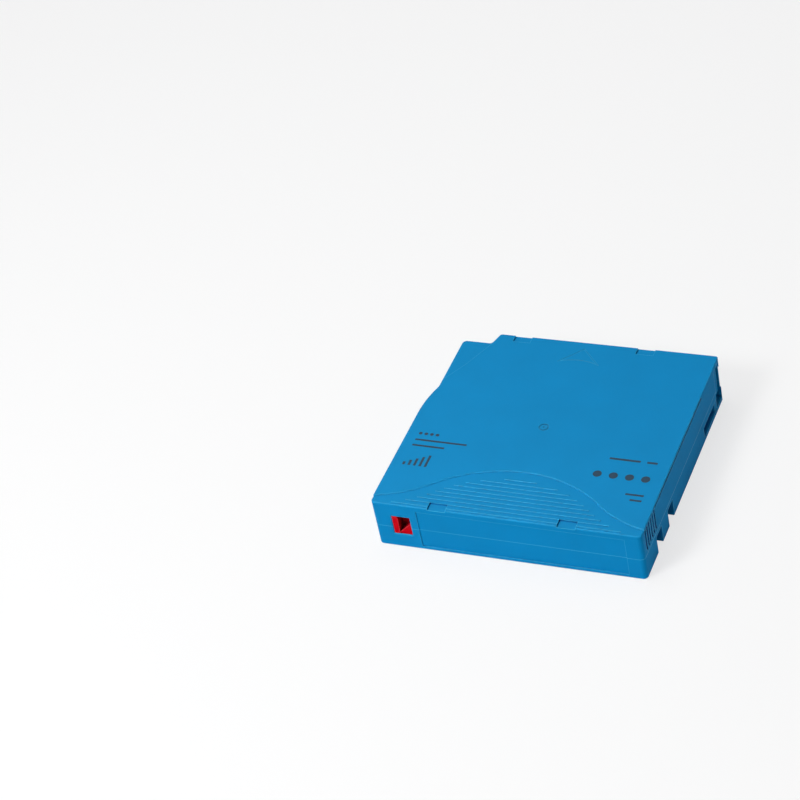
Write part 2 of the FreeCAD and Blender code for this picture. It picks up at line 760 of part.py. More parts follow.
def cut_rear_face(shell):
    """Label field and bevelled write-protect window, which both shells share."""
    rear = -HALF_DEPTH
    pocket(shell, "label_field", "rear", rear, rear + S.label_deep, label_field())
    inner = rear + S.wall + OVERSHOOT
    pocket(shell, "window", "rear", rear, inner, window())
    bevel_edges(shell, "window_bevel", S.window_flare, on_window_rim)
    pocket(shell, "slide_bay", "rear", rear + S.window_wall, inner, slide_bay())


def cut_right_face(shell, foot, head):
    """Door bay behind the right wall and the front wall, between two heights."""
    right = HALF_WIDTH
    inner = right - S.wall
    bay_rear = DOOR_REAR - S.door_travel - S.door_end_gap
    bay = rectangle(inner - OVERSHOOT, bay_rear, right - S.door_skin, BAY_FRONT)
    pocket(shell, "door_bay", "plan", foot, head, bay)
    lip_start = right - S.front_lip_long
    front_bay = rectangle(lip_start, HALF_DEPTH - S.wall - OVERSHOOT, inner, BAY_FRONT)
    pocket(shell, "front_bay", "plan", foot, head, front_bay)


def cut_mouth(shell, foot, head):
    """The tape opening through the right wall and its cut-back front lip."""
    inner = HALF_WIDTH - S.wall
    mouth = rectangle(MOUTH_REAR, foot, BAY_FRONT, head)
    pocket(shell, "tape_mouth", "side", HALF_WIDTH, inner, mouth)
    lip_top = S.mouth_foot + S.lip_high
    lip = rectangle(BAY_FRONT - OVERSHOOT, S.mouth_foot, HALF_DEPTH + OVERSHOOT, lip_top)
    pocket(shell, "lip_back", "side", HALF_WIDTH, HALF_WIDTH - S.lip_back, lip)


def add_ring_rib(shell, foot, head):
    """Round rib that keeps the reel in place, open where the tape leaves it."""
    outer = RING_RADIUS + S.ring_wall
    ring = [circle(REEL_X, 0, outer), circle(REEL_X, 0, RING_RADIUS)]
    pad(shell, "ring_rib", "plan", foot, head, *ring)
    gate_left = HALF_WIDTH - S.gate_side
    gate_right = REEL_X + outer + OVERSHOOT / 2
    gate = rectangle(gate_left, S.gate_rear, gate_right, HALF_DEPTH - S.gate_front)
    pocket(shell, "tape_gate", "plan", foot, head, gate)


def add_door_ribs(shell, foot, rib_top, head):
    """Rib that holds the door against the right wall, and the fixed spring seat."""
    outer = DOOR_IN - S.door_gap
    inner = outer - S.guide_rib_wide
    rib = rectangle(inner, S.spring_bay - S.seat_thick, outer, PIN_Y - S.pin_collar - S.wall)
    pad(shell, "door_rib", "plan", foot, rib_top, rib)
    seat = rectangle(outer - S.lug_reach, S.spring_bay - S.seat_thick, outer, S.spring_bay)
    pad(shell, "spring_seat", "plan", foot, head, seat)


def add_pin_stand(shell, foot, rise):
    """Cup for one end of the leader pin, open to the pin spring and the tape opening."""
    cup = S.pin_radius + S.stand_gap
    pad(shell, "pin_stand", "plan", foot, foot + rise, circle(PIN_X, PIN_Y, cup + S.stand_wall))
    beyond = cup + S.stand_wall + OVERSHOOT
    way_out = path(
        (PIN_X, PIN_Y),
        (PIN_X, PIN_Y - cup),
        (PIN_X + beyond, PIN_Y - cup),
        (PIN_X + beyond, PIN_Y + beyond),
        (PIN_X - beyond, PIN_Y + beyond),
        (PIN_X - beyond, PIN_Y),
    )
    pocket(shell, "pin_way", "plan", foot, foot + rise, way_out)
    pocket(shell, "pin_cup", "plan", foot, foot + rise, circle(PIN_X, PIN_Y, cup))


def add_slide_rails(shell, foot, edge, head):
    """Shelf above or below the write-protect slide and the rail behind it."""
    left = S.wall / 2 - HALF_WIDTH
    right = S.slide_left + S.slide_wide + S.slide_travel + S.rail_thick - HALF_WIDTH
    front = S.wall / 2 - HALF_DEPTH
    back = SLIDE_FACE + S.slide_deep + S.slide_gap
    pad(shell, "slide_shelf", "plan", foot, edge, rectangle(left, front, right, back))
    pad(shell, "slide_rail", "plan", foot, head, rectangle(left, back, right, back + S.rail_thick))


def upper_shell():
    """Upper shell: roof, grip field, marks, and what holds the reel from above."""
    shell = new_body("upper_shell")
    pad(shell, "block", "plan", S.split, HEIGHT, case_plan(ZERO))
    round_uprights(shell)
    grip_floor = HEIGHT - S.grip_step
    pocket(shell, "grip_field", "plan", HEIGHT, grip_floor, grip_field())
    round_upper_rims(shell, grip_floor)
    rib_top = grip_floor + S.rib_high
    pad(shell, "finger_ribs", "plan", grip_floor, rib_top, *finger_ribs())
    bevel_edges(shell, "rib_bevels", S.rib_bevel, level_at(rib_top))
    cut_roof_marks(shell, grip_floor)
    cut_rear_face(shell)
    cut_side_grips(shell)
    cut_side_line(shell)
    pocket(shell, "cavity", "plan", S.split, CEILING, case_plan(S.wall))
    cut_right_face(shell, S.split, CEILING)
    cut_mouth(shell, S.split, CEILING - S.door_end_gap)
    add_ring_rib(shell, CEILING, S.split)
    add_door_ribs(shell, CEILING, CEILING - S.guide_rib_high, S.split)
    add_pin_stand(shell, CEILING, -S.stand_high)
    slide_top = S.slide_foot + S.slide_high
    add_slide_rails(shell, CEILING, slide_top + S.slide_gap, S.split)
    pad(shell, "bosses", "plan", CEILING, S.split, *[circle(x, y, S.boss_radius) for x, y in BOSSES])
    pilot = S.screw_radius + S.screw_fit
    pilot_top = S.split + S.screw_reach + OVERSHOOT
    pocket(shell, "pilots", "plan", S.split, pilot_top, *[circle(x, y, pilot) for x, y in BOSSES])
    add_brake_post(shell)
    return shell


def round_upper_rims(shell, grip_floor):
    """Bevel the grip field's curved edge and soften the roof's outer rim."""

    def on_rim(edge):
        return level_at(HEIGHT)(edge) and not on_bell_curve(edge)

    def on_rear_rim(edge):
        point = middle(edge)
        at_rear = point.y < (S.rear_round - HALF_DEPTH).value
        at_side = abs(point.x) > HALF_WIDTH.value - TOUCH
        return level_at(grip_floor)(edge) and (at_rear or at_side)

    bevel_edges(shell, "bell_bevel", S.bell_bevel, on_bell_curve)
    round_edges(shell, "roof_rim", S.top_round, on_rim)
    round_edges(shell, "rear_rim", S.rear_rim_round, on_rear_rim)


def cut_roof_marks(shell, grip_floor):
    """Picker notches, insertion arrow, moulding gate and the step at the guide."""
    front = edge_notches(HALF_DEPTH - S.edge_notch_long, HALF_DEPTH + OVERSHOOT)
    rear = edge_notches(-HALF_DEPTH - OVERSHOOT, S.edge_notch_long - HALF_DEPTH)
    pocket(shell, "front_notches", "plan", HEIGHT, HEIGHT - S.edge_notch_deep, *front)
    pocket(shell, "rear_notches", "plan", HEIGHT, grip_floor - S.edge_notch_deep, *rear)
    marked = HEIGHT - S.mark_deep
    pocket(shell, "arrow", "plan", HEIGHT, marked, arrow_loop(ZERO))
    pad(shell, "arrow_middle", "plan", marked, HEIGHT, arrow_loop(S.arrow_line))
    ring = [circle(REEL_X, 0, S.gate_radius), circle(REEL_X, 0, S.gate_radius - S.arrow_line)]
    gate_floor = HEIGHT - S.gate_deep
    pocket(shell, "gate_ring", "plan", HEIGHT, gate_floor, *ring)
    pocket(shell, "gate_mark", "plan", HEIGHT, gate_floor, circle(REEL_X, 0, S.arrow_line))
    pocket(shell, "guide_step", "plan", HEIGHT, HEIGHT - S.guide_step, guide_zone())


def guide_zone():
    """Corner of the roof over the insertion guide that lies a step lower."""
    corners = [(as_size(corner[0]), as_size(corner[1])) for corner in case_corners(ZERO)]
    nose_x, front = corners[3]
    flank_x, flank_y = corners[4]
    left, arc_y = corners[6]
    beyond = left - S.guide_inset - OVERSHOOT
    return path(
        (nose_x + S.guide_step_rim, front + OVERSHOOT),
        (beyond, front + OVERSHOOT),
        (beyond, arc_y - S.guide_inset),
        (left + S.guide_step_wide, (arc_y + flank_y) / 2),
        (flank_x + S.guide_step_rim, flank_y),
    )


def cut_side_grips(shell):
    """Upright grooves at the rear of the right face."""
    foot, head = S.side_grip_foot, HEIGHT - S.side_grip_head
    grooves = []
    for number in range(int(S.side_grip_count.value)):
        y = S.side_grip_start + S.side_grip_pitch * number - HALF_DEPTH
        half = S.side_grip_wide / 2
        grooves.append(rectangle(y - half, foot, y + half, head))
    pocket(shell, "side_grips", "side", HALF_WIDTH, HALF_WIDTH - S.side_grip_deep, *grooves)


def cut_side_line(shell):
    """Groove in the right face, close under the roof's edge."""
    head = HEIGHT - S.line_head
    rear = S.line_rear - HALF_DEPTH
    front = HALF_DEPTH - S.line_front
    groove = rectangle(rear, head - S.line_high, front, head)
    pocket(shell, "side_line", "side", HALF_WIDTH, HALF_WIDTH - S.line_deep, groove)


def add_brake_post(shell):
    """Cross key that keeps the brake from turning, and the seat ring of its spring."""
    foot = socket_floor() + S.lift + S.key_base
    long, wide = S.key_long / 2, S.key_wide / 2
    pad(shell, "key_along", "plan", CEILING, foot, rectangle(REEL_X - long, -wide, REEL_X + long, wide))
    pad(shell, "key_across", "plan", CEILING, foot, rectangle(REEL_X - wide, -long, REEL_X + wide, long))
    inner = S.brake_coil + S.brake_wire
    ring = [circle(REEL_X, 0, inner + S.seat_ring), circle(REEL_X, 0, inner)]
    pad(shell, "seat_ring", "plan", CEILING, CEILING - S.seat_ring, *ring)


def lower_shell():
    """Lower shell: floor with the drive opening, notches and what carries the parts."""
    shell = new_body("lower_shell")
    pad(shell, "block", "plan", ZERO, S.split, case_plan(ZERO))
    round_uprights(shell)
    round_edges(shell, "base_rim", S.base_round, level_at(ZERO))
    cut_rear_face(shell)
    pocket(shell, "cavity", "plan", S.split, S.floor, case_plan(S.wall))
    cut_right_face(shell, S.split, S.floor)
    cut_mouth(shell, S.slot_foot, S.split)
    cut_tab_slot(shell)
    add_ring_rib(shell, S.floor, S.split)
    add_door_ribs(shell, S.floor, S.mouth_foot - S.door_hem, S.split)
    add_pin_stand(shell, S.floor, S.stand_high)
    add_slide_rails(shell, S.floor, S.slide_foot - S.slide_gap, S.split)
    add_handling_notches(shell)
    add_screw_bosses(shell)
    add_locating_holes(shell)
    add_board_props(shell)
    opening = S.gear_outer + S.opening_gap
    pocket(shell, "drive_opening", "plan", ZERO, S.floor, circle(REEL_X, 0, opening))
    return shell


def cut_tab_slot(shell):
    """Slot in which the door's thumb tab travels."""
    rear = TAB_FRONT - S.tab_wide - S.door_travel - S.tab_gap
    slot = rectangle(rear, S.slot_foot, MOUTH_REAR + OVERSHOOT, S.mouth_foot)
    pocket(shell, "tab_slot", "side", HALF_WIDTH, HALF_WIDTH - S.wall, slot)


def add_handling_notches(shell):
    """Two walled notches in the right side, open downward and sideward."""
    right = HALF_WIDTH
    for number, start in enumerate((S.notch_first, S.notch_second), start=1):
        y0 = start - HALF_DEPTH
        y1 = y0 + S.notch_wide
        around_it = S.notch_wall
        box = rectangle(y0 - around_it, S.floor / 2, y1 + around_it, S.notch_high + around_it)
        inside = right - S.wall / 2
        pad(shell, "notch_box_%d" % number, "side", inside, right - S.notch_deep - around_it, box)
        hole = rectangle(y0, -OVERSHOOT, y1, S.notch_high)
        pocket(shell, "notch_%d" % number, "side", right, right - S.notch_deep, hole)


def add_screw_bosses(shell):
    """Four bosses with clearance holes and counterbores for the screw heads."""
    pad(shell, "bosses", "plan", S.floor, S.split, *[circle(x, y, S.boss_radius) for x, y in BOSSES])
    free = S.screw_radius + S.screw_free
    pocket(shell, "screw_holes", "plan", ZERO, S.split, *[circle(x, y, free) for x, y in BOSSES])
    sink = S.head_sink + S.head_thick
    bore = S.head_radius + S.head_gap
    pocket(shell, "counterbores", "plan", ZERO, sink, *[circle(x, y, bore) for x, y in BOSSES])


def add_locating_holes(shell):
    """Round hole and slotted hole near the front of the underside."""
    y = HALF_DEPTH - S.datum_front
    left = S.datum_left - HALF_WIDTH
    right = HALF_WIDTH - S.datum_right
    outer = S.datum_radius + S.datum_wall
    top = S.datum_deep + S.datum_wall

    def slot(radius):
        half = S.datum_stretch / 2
        return path(
            (right - half, y - radius),
            (right + half, y - radius, radius + HALF_CIRCLE_SLACK, 1),
            (right + half, y + radius),
            (right - half, y + radius, radius + HALF_CIRCLE_SLACK, 1),
        )

    pad(shell, "datum_bosses", "plan", S.floor, top, circle(left, y, outer), slot(outer))
    holes = [circle(left, y, S.datum_radius), slot(S.datum_radius)]
    pocket(shell, "datum_holes", "plan", ZERO, S.datum_deep, *holes)


def board_square(along, across):
    """A point beside the memory board's middle: along its slope and across it."""
    y = S.board_rear - HALF_DEPTH - along * TILT + across * TILT
    z = S.board_mid + along * TILT + across * TILT
    return y, z


def board_slab(long, near_face, far_face):
    """A tilted rectangle in y and z, long along the slope, between two faces."""
    half = long / 2
    corners = ((-half, near_face), (half, near_face), (half, far_face), (-half, far_face))
    return path(*[board_square(along, across) for along, across in corners])


def add_board_props(shell):
    """Two sloping ribs under the ends of the memory board."""
    right = HALF_WIDTH - S.board_side
    left = right - S.board_long
    half = S.board_wide / 2
    low_y, low_z = board_square(-half, -S.board_thick / 2)
    high_y, high_z = board_square(half, -S.board_thick / 2)
    wedge = path((low_y, S.floor / 2), (low_y, low_z), (high_y, high_z), (high_y, S.floor / 2))
    pad(shell, "board_prop_left", "side", left, left + S.prop_wide, wedge)
    pad(shell, "board_prop_right", "side", right - S.prop_wide, right, wedge)


def case_screws():
    """Four recessed cross-head screws, driven in from below."""
    screws = new_body("case_screws")
    screws.AllowCompound = True
    head_top = S.head_sink + S.head_thick
    tip = S.split + S.screw_reach
    pad(screws, "heads", "plan", S.head_sink, head_top, *[circle(x, y, S.head_radius) for x, y in BOSSES])
    pad(screws, "shanks", "plan", head_top, tip, *[circle(x, y, S.screw_radius) for x, y in BOSSES])
    long, wide = S.drive_long / 2, S.drive_wide / 2
    crosses = []
    for x, y in BOSSES:
        crosses.append(path(
            (x - long, y - wide), (x - wide, y - wide), (x - wide, y - long), (x + wide, y - long),
            (x + wide, y - wide), (x + long, y - wide), (x + long, y + wide), (x + wide, y + wide),
            (x + wide, y + long), (x - wide, y + long), (x - wide, y + wide), (x - long, y + wide),
        ))
    pocket(screws, "crosses", "plan", S.head_sink, S.head_sink + S.drive_deep, *crosses)
    return screws


# ---------------------------------------------------------------------------------------
# tape door
# ---------------------------------------------------------------------------------------
def access_door():
    """Sliding door with its thumb tab, its spring lug and spigot."""
    door = new_body("access_door")
    foot = S.floor + S.door_end_gap
    head = CEILING - 2 * S.door_end_gap
    hem = S.mouth_foot - S.door_hem
    tab_foot = S.slot_foot + S.tab_gap
    tab_rear = TAB_FRONT - S.tab_wide
    plate = path(
        (DOOR_REAR, foot), (DOOR_REAR + S.door_foot, foot), (DOOR_REAR + S.door_foot, hem),
        (tab_rear, hem), (tab_rear, tab_foot), (TAB_FRONT, tab_foot), (TAB_FRONT, hem),
        (DOOR_FRONT, hem), (DOOR_FRONT, head), (DOOR_REAR, head),
    )
    pad(door, "plate", "side", DOOR_IN, DOOR_OUT, plate)
    tab_head = S.mouth_foot - S.tab_gap
    tab = rectangle(tab_rear, tab_foot, TAB_FRONT, tab_head)
    pad(door, "thumb_tab", "side", DOOR_OUT, HALF_WIDTH - S.door_gap, tab)
    lug_front = HALF_DEPTH - S.lug_front
    half = S.lug_high / 2
    mid = S.spring_high
    lug = rectangle(lug_front - S.seat_thick, mid - half, lug_front, mid + half)
    pad(door, "spring_lug", "side", DOOR_IN, DOOR_IN - S.lug_reach, lug)
    lug_rear = lug_front - S.seat_thick
    spigot = circle(spring_line(), mid, S.spigot_radius)
    pad(door, "spigot", "rear", lug_rear, lug_rear - S.spigot_long, spigot)
    return door


def spring_line():
    """Distance to the right at which the door spring runs."""
    return DOOR_IN - S.lug_reach / 2


def coil(name, radius, wire, length, turns):
    """A coil spring on its own origin: a helix of short straight lengths of wire."""
    spring = DOC.addObject("Part::Feature", name)
    spring.Label = name
    rise = (length - wire).value / turns.value
    steps = int(turns.value * COIL_STEPS)
    rings = [coil_ring(radius.value, wire.value / 2, rise, step / COIL_STEPS) for step in range(steps + 1)]
    faces = [flat_face(rings[0]), flat_face(rings[-1])]
    for ring, following in zip(rings, rings[1:]):
        for side in range(WIRE_SIDES):
            beside = (side + 1) % WIRE_SIDES
            faces.append(flat_face([ring[side], ring[beside], following[beside]]))
            faces.append(flat_face([ring[side], following[beside], following[side]]))
    solid = Part.Solid(Part.Shell(faces))
    if solid.Volume < 0:
        solid.reverse()
    spring.Shape = solid
    return spring


def coil_ring(radius, half_wire, rise, turned):
    """Corners of the wire's section after a number of turns, square to the helix."""
    angle = 2 * math.pi * turned
    outward = Vector(math.cos(angle), math.sin(angle), 0)
    along = Vector(-math.sin(angle), math.cos(angle), rise / (2 * math.pi * radius)).normalize()
    across = along.cross(outward)
    centre = outward * radius + Vector(0, 0, rise * turned)
    corners = [2 * math.pi * side / WIRE_SIDES for side in range(WIRE_SIDES)]
    return [centre + (outward * math.cos(at) + across * math.sin(at)) * half_wire for at in corners]


def flat_face(corners):
    """A flat face between corners."""
    return Part.Face(Part.makePolygon(corners + corners[:1]))


def door_spring():
    """Coil that pushes the door shut, lying along the right wall."""
    gap = S.door_gap / 2
    rear = S.spring_bay + gap + S.door_wire / 2
    front = HALF_DEPTH - S.lug_front - S.seat_thick - gap
    length = front - rear + S.door_wire / 2
    spring = coil("door_spring", S.door_coil, S.door_wire, length, S.door_turns)
    spring.Placement.Rotation = FreeCAD.Rotation(Vector(1, 0, 0), -90)
    place(spring, spring_line(), rear, S.spring_high)
    return spring


# ---------------------------------------------------------------------------------------
# reel
# ---------------------------------------------------------------------------------------
def gear_tooth(body, name, root_z, tip_z, inner, outer, root_wide):
    """One straight tooth that runs outward along X."""
    root_half, tip_half = root_wide / 2, S.tooth_tip / 2
    bite = BITE if tip_z.value < root_z.value else -BITE
    tooth = path(
        (-root_half, root_z + bite),
        (root_half, root_z + bite),
        (root_half, root_z),
        (tip_half, tip_z),
        (-tip_half, tip_z),
        (-root_half, root_z),
    )
    return pad(body, name, "side", inner + S.tooth_inset, outer - S.tooth_inset, tooth)


def hub_levels():
    """Heights inside the hub, worked up from its resting rim."""
    rest = S.floor + S.rest_gap
    gear_root = S.gear_clear + S.gear_rise
    web_foot = gear_root + S.plate_thick
    web_top = web_foot + S.web_thick
    track_top = web_top + S.track_high
    return types.SimpleNamespace(
        rest=rest,
        gear_root=gear_root,
        web_foot=web_foot,
        web_top=web_top,
        track_top=track_top,
        brake_root=track_top + S.gear_rise + S.mesh_gap,
    )


def socket_floor():
    """Height of the plastic left under the brake's socket, at rest."""
    return hub_levels().brake_root + S.key_base


def reel_hub():
    """Hub with the lower flange, the drive gear below and the brake gear inside."""
    hub = new_body("reel_hub")
    z = hub_levels()
    inside = S.hub_radius - S.hub_wall
    rim = S.gear_outer + S.rim_wide
    revolve(hub, "turned_form", path(
        (ZERO, z.web_foot), (S.gear_inner, z.web_foot), (S.gear_inner, z.gear_root),
        (S.gear_outer, z.gear_root), (S.gear_outer, z.rest), (rim, z.rest), (rim, FLANGE_Z),
        (S.flange_radius, FLANGE_Z), (S.flange_radius, SLOT_Z), (S.hub_radius, SLOT_Z),
        (S.hub_radius, UPPER_Z), (inside, UPPER_Z), (inside, z.web_top), (ZERO, z.web_top),
    ))
    track = [circle(0, 0, inside + S.hub_wall / 2), circle(0, 0, S.track_inner)]
    pad(hub, "brake_track", "plan", z.web_top, z.track_top, *track)
    tip = z.track_top + S.gear_rise
    tooth = gear_tooth(hub, "brake_tooth", z.track_top, tip, S.track_inner, S.track_outer, S.brake_tooth)
    around(hub, "brake_gear", tooth, S.brake_teeth)
    tooth = gear_tooth(
        hub, "drive_tooth", z.gear_root, S.gear_clear, S.gear_inner, S.gear_outer, S.drive_tooth
    )
    around(hub, "drive_gear", tooth, S.drive_teeth)
    tangent = math.tan(math.radians(S.track_open.value / 2))
    slope = Size(tangent, "tan(%s / 2 * 1deg)" % S.track_open.text)
    arm_way = path((ZERO, ZERO), (inside, -inside * slope), (inside, inside * slope))
    gap = pocket(hub, "arm_way", "plan", z.web_top, tip + OVERSHOOT, arm_way)
    around(hub, "arm_ways", gap, 3)
    hole = circle(S.leg_circle, 0, S.leg_radius + S.leg_gap)
    leg_hole = pocket(hub, "leg_hole", "plan", ZERO, z.web_top, hole)
    around(hub, "leg_holes", leg_hole, 3)
    place(hub, REEL_X, ZERO)
    return hub


def upper_flange():
    """Clear upper flange with the collar that centres it in the hub."""
    flange = new_body("upper_flange")
    bore = S.hub_radius - S.hub_wall
    collar = bore - S.collar_wall
    fit = bore - S.collar_fit
    foot = UPPER_Z - S.collar_high
    top = UPPER_Z + S.flange_thick
    revolve(flange, "turned_form", path(
        (collar, foot), (fit, foot), (fit, UPPER_Z),
        (S.flange_radius, UPPER_Z), (S.flange_radius, top), (collar, top),
    ))
    place(flange, REEL_X, ZERO)
    return flange


def drive_plate():
    """Steel ring by which the drive's magnet holds the reel."""
    plate = new_body("drive_plate")
    z = hub_levels()
    outer = S.gear_inner - S.plate_gap
    ring = [circle(0, 0, outer), circle(0, 0, S.plate_inner)]
    pad(plate, "ring", "plan", z.gear_root, z.web_foot, *ring)
    place(plate, REEL_X, ZERO)
    return plate


def tape_pack():
    """All turns of the wound tape as one ring."""
    pack = new_body("tape_pack")
    ring = [circle(0, 0, S.flange_radius - S.pack_margin), circle(0, 0, S.hub_radius)]
    pad(pack, "turns", "plan", TAPE_Z, TAPE_Z + S.tape_wide, *ring)
    place(pack, REEL_X, ZERO)
    return pack


def release_pad():
    """Three-legged pad: the drive's gear lifts its legs, and its button lifts the brake."""
    part = new_body("release_pad")
    z = hub_levels()
    foot = z.web_top + S.arm_gap
    top = foot + S.arm_thick
    half = S.arm_wide / 2
    pad(part, "middle", "plan", foot, top, circle(0, 0, S.arm_wide))
    arm = pad(part, "arm", "plan", foot, top, rectangle(0, -half, S.leg_circle, half))
    around(part, "arms", arm, 3)
    leg_foot = S.gear_clear + S.leg_gap / 2
    one_leg = pad(part, "one_leg", "plan", top, leg_foot, circle(S.leg_circle, 0, S.leg_radius))
    around(part, "legs", one_leg, 3)
    pad(part, "button", "plan", top, z.brake_root - S.button_gap, circle(0, 0, S.pad_button))
    place(part, REEL_X, ZERO)
    return part


def brake_button():
    """Brake disc with its ring gear and the socket for the roof's cross key."""
    brake = new_body("brake_button")
    z = hub_levels()
    top = z.brake_root + S.brake_thick
    radius = S.hub_radius - S.hub_wall - S.brake_gap
    pad(brake, "disc", "plan", z.brake_root, top, circle(0, 0, radius))
    pad(brake, "socket", "plan", top, top + S.socket_high, circle(0, 0, S.socket_radius))
    ring_foot = z.track_top + S.mesh_gap
    ring = [circle(0, 0, S.track_outer), circle(0, 0, S.track_inner)]
    pad(brake, "gear_ring", "plan", z.brake_root, ring_foot, *ring)
    root_half = S.brake_tooth / 2 + S.mesh_gap
    tip_half = S.tooth_tip / 2 + S.mesh_gap
    groove = path(
        (-root_half, ring_foot - OVERSHOOT),
        (root_half, ring_foot - OVERSHOOT),
        (root_half, ring_foot),
        (tip_half, z.brake_root),
        (-tip_half, z.brake_root),
        (-root_half, ring_foot),
    )
    reach = (S.track_inner - OVERSHOOT, S.track_outer + OVERSHOOT)
    one_groove = pocket(brake, "groove", "side", *reach, groove)
    around(brake, "ring_gear", one_groove, S.brake_teeth)
    long = S.key_long / 2 + S.key_gap
    wide = S.key_wide / 2 + S.key_gap
    floor = socket_floor()
    ceiling = top + S.socket_high
    pocket(brake, "key_along", "plan", ceiling, floor, rectangle(-long, -wide, long, wide))
    pocket(brake, "key_across", "plan", ceiling, floor, rectangle(-wide, -long, wide, long))
    place(brake, REEL_X, ZERO)
    return brake


def brake_spring():
    """Coil that presses the brake down, between the disc and the roof."""
    gap = S.mesh_gap / 2
    foot = hub_levels().brake_root + S.brake_thick + gap + S.brake_wire / 2
    length = CEILING - gap - foot + S.brake_wire / 2
    spring = coil("brake_spring", S.brake_coil, S.brake_wire, length, S.brake_turns)
    place(spring, REEL_X, ZERO, foot)
    return spring


# ---------------------------------------------------------------------------------------
# tape end and leader pin
# ---------------------------------------------------------------------------------------
def leader_pin():
    """Steel pin at the end of the tape, with a collar above and below the tape."""
    pin = new_body("leader_pin")
    foot = S.floor + S.pin_end_gap
    top = CEILING - S.pin_end_gap
    low_top = TAPE_Z - S.collar_gap
    high_foot = TAPE_Z + S.tape_wide + S.collar_gap
    revolve(pin, "turned_form", path(
        (ZERO, foot), (S.pin_radius, foot), (S.pin_radius, low_top - S.collar_thick),
        (S.pin_collar, low_top - S.collar_thick), (S.pin_collar, low_top), (S.pin_radius, low_top),
        (S.pin_radius, high_foot), (S.pin_collar, high_foot),
        (S.pin_collar, high_foot + S.collar_thick), (S.pin_radius, high_foot + S.collar_thick),
        (S.pin_radius, top), (ZERO, top),
    ))
    place(pin, PIN_X, PIN_Y)
    return pin


def tape_clip():
    """Open clip that grips the end of the tape on the leader pin."""
    clip = new_body("tape_clip")
    inner = S.pin_radius + S.clip_gap
    outer = inner + S.clip_wall
    pad(clip, "tube", "plan", TAPE_Z, TAPE_Z + S.tape_wide, circle(0, 0, outer), circle(0, 0, inner))
    half = S.pin_radius / 2
    mouth = rectangle(-half, -outer - OVERSHOOT, half, ZERO)
    pocket(clip, "mouth", "plan", TAPE_Z, TAPE_Z + S.tape_wide, mouth)
    place(clip, PIN_X, PIN_Y)
    return clip


def tape_leader():
    """Free end of the tape, from the wound turns to the leader pin."""
    tape = new_body("tape_leader")
    pack = S.flange_radius - S.pack_margin
    half = S.strip_thick / 2
    start_x = REEL_X + pack - S.strip_thick
    end_y = PIN_Y - S.pin_radius - S.clip_gap
    strip = path(
        (start_x - half, S.strip_start), (start_x + half, S.strip_start),
        (PIN_X + half, end_y), (PIN_X - half, end_y),
    )
    pad(tape, "strip", "plan", TAPE_Z, TAPE_Z + S.tape_wide, strip)
    return tape


def pin_spring():
    """Folded leaf spring whose two arms press the ends of the leader pin."""
    spring = new_body("pin_spring")
    front = HALF_DEPTH - S.wall - S.leaf_gap
    back = front - S.leaf_thick
    reach = S.pin_radius + S.leaf_thick
    bend = PIN_X - reach * 2
    touch = PIN_Y + S.pin_radius + S.clip_gap
    foot = S.floor + S.pin_end_gap
    top = CEILING - S.pin_end_gap
    plate = rectangle(bend - S.leaf_back, back, bend, front)
    pad(spring, "back_plate", "plan", foot, top, plate)
    arm = path(
        (bend - OVERSHOOT / 2, back), (bend, back), (PIN_X, touch), (PIN_X + reach, touch + reach / 2),
        (PIN_X + reach, touch + reach / 2 + S.leaf_thick), (PIN_X, touch + S.leaf_thick),
        (bend, front), (bend - OVERSHOOT / 2, front),
    )
    pad(spring, "lower_arm", "plan", foot, foot + S.leaf_wide, arm)
    pad(spring, "upper_arm", "plan", top - S.leaf_wide, top, arm)
    return spring


# ---------------------------------------------------------------------------------------
# write-protect slide and cartridge memory
# ---------------------------------------------------------------------------------------
def write_protect_slide():
    """Slide with a well and a finger flange, seen through the rear window."""
    slide = new_body("write_protect_slide")
    left = S.slide_left - HALF_WIDTH
    right = left + S.slide_wide
    foot, top = S.slide_foot, S.slide_foot + S.slide_high
    back = SLIDE_FACE + S.slide_deep
    pad(slide, "block", "plan", foot, top, rectangle(left, SLIDE_FACE, right, back))
    finger_left = S.window_left + S.slide_gap - HALF_WIDTH
    finger_right = finger_left + S.slide_finger
    finger_foot = S.window_foot + S.slide_gap
    finger_top = S.window_foot + S.window_high - S.slide_gap
    finger = rectangle(finger_left, finger_foot, finger_right, finger_top)
    pad(slide, "finger_flange", "rear", SLIDE_FACE, SLIDE_FACE - S.slide_proud, finger)
    well_right, well_top = right - S.slide_lip, top - S.slide_lip
    well = path(
        (finger_right, foot + S.well_foot),
        (well_right, foot + S.well_side),
        (well_right, well_top),
        (finger_right, well_top),
    )
    pocket(slide, "well", "rear", SLIDE_FACE, SLIDE_FACE + S.well_deep, well)
    return slide


def memory_board():
    """Circuit board of the cartridge memory, tilted so that it is read from two sides."""
    board = new_body("memory_board")
    right = HALF_WIDTH - S.board_side
    half = S.board_thick / 2
    slab = board_slab(S.board_wide, -half, half)
    pad(board, "board", "side", right - S.board_long, right, slab)
    return board


def memory_chip():
    """Memory chip on the upper face of its board."""
    chip = new_body("memory_chip")
    right = HALF_WIDTH - S.board_side - (S.board_long - S.chip_side) / 2
    half = S.board_thick / 2
    slab = board_slab(S.chip_side, half, half + S.chip_thick)
    pad(chip, "chip", "side", right - S.chip_side, right, slab)
    return chip


# ---------------------------------------------------------------------------------------
# checks and export
# ---------------------------------------------------------------------------------------
def check_states():
    """Stop where an object of the document has failed."""
    for item in DOC.Objects:
        failed = [word for word in ("Invalid", "Error") if word in item.State]
        if failed:
            raise RuntimeError("%s is %s" % (item.Name, item.State))


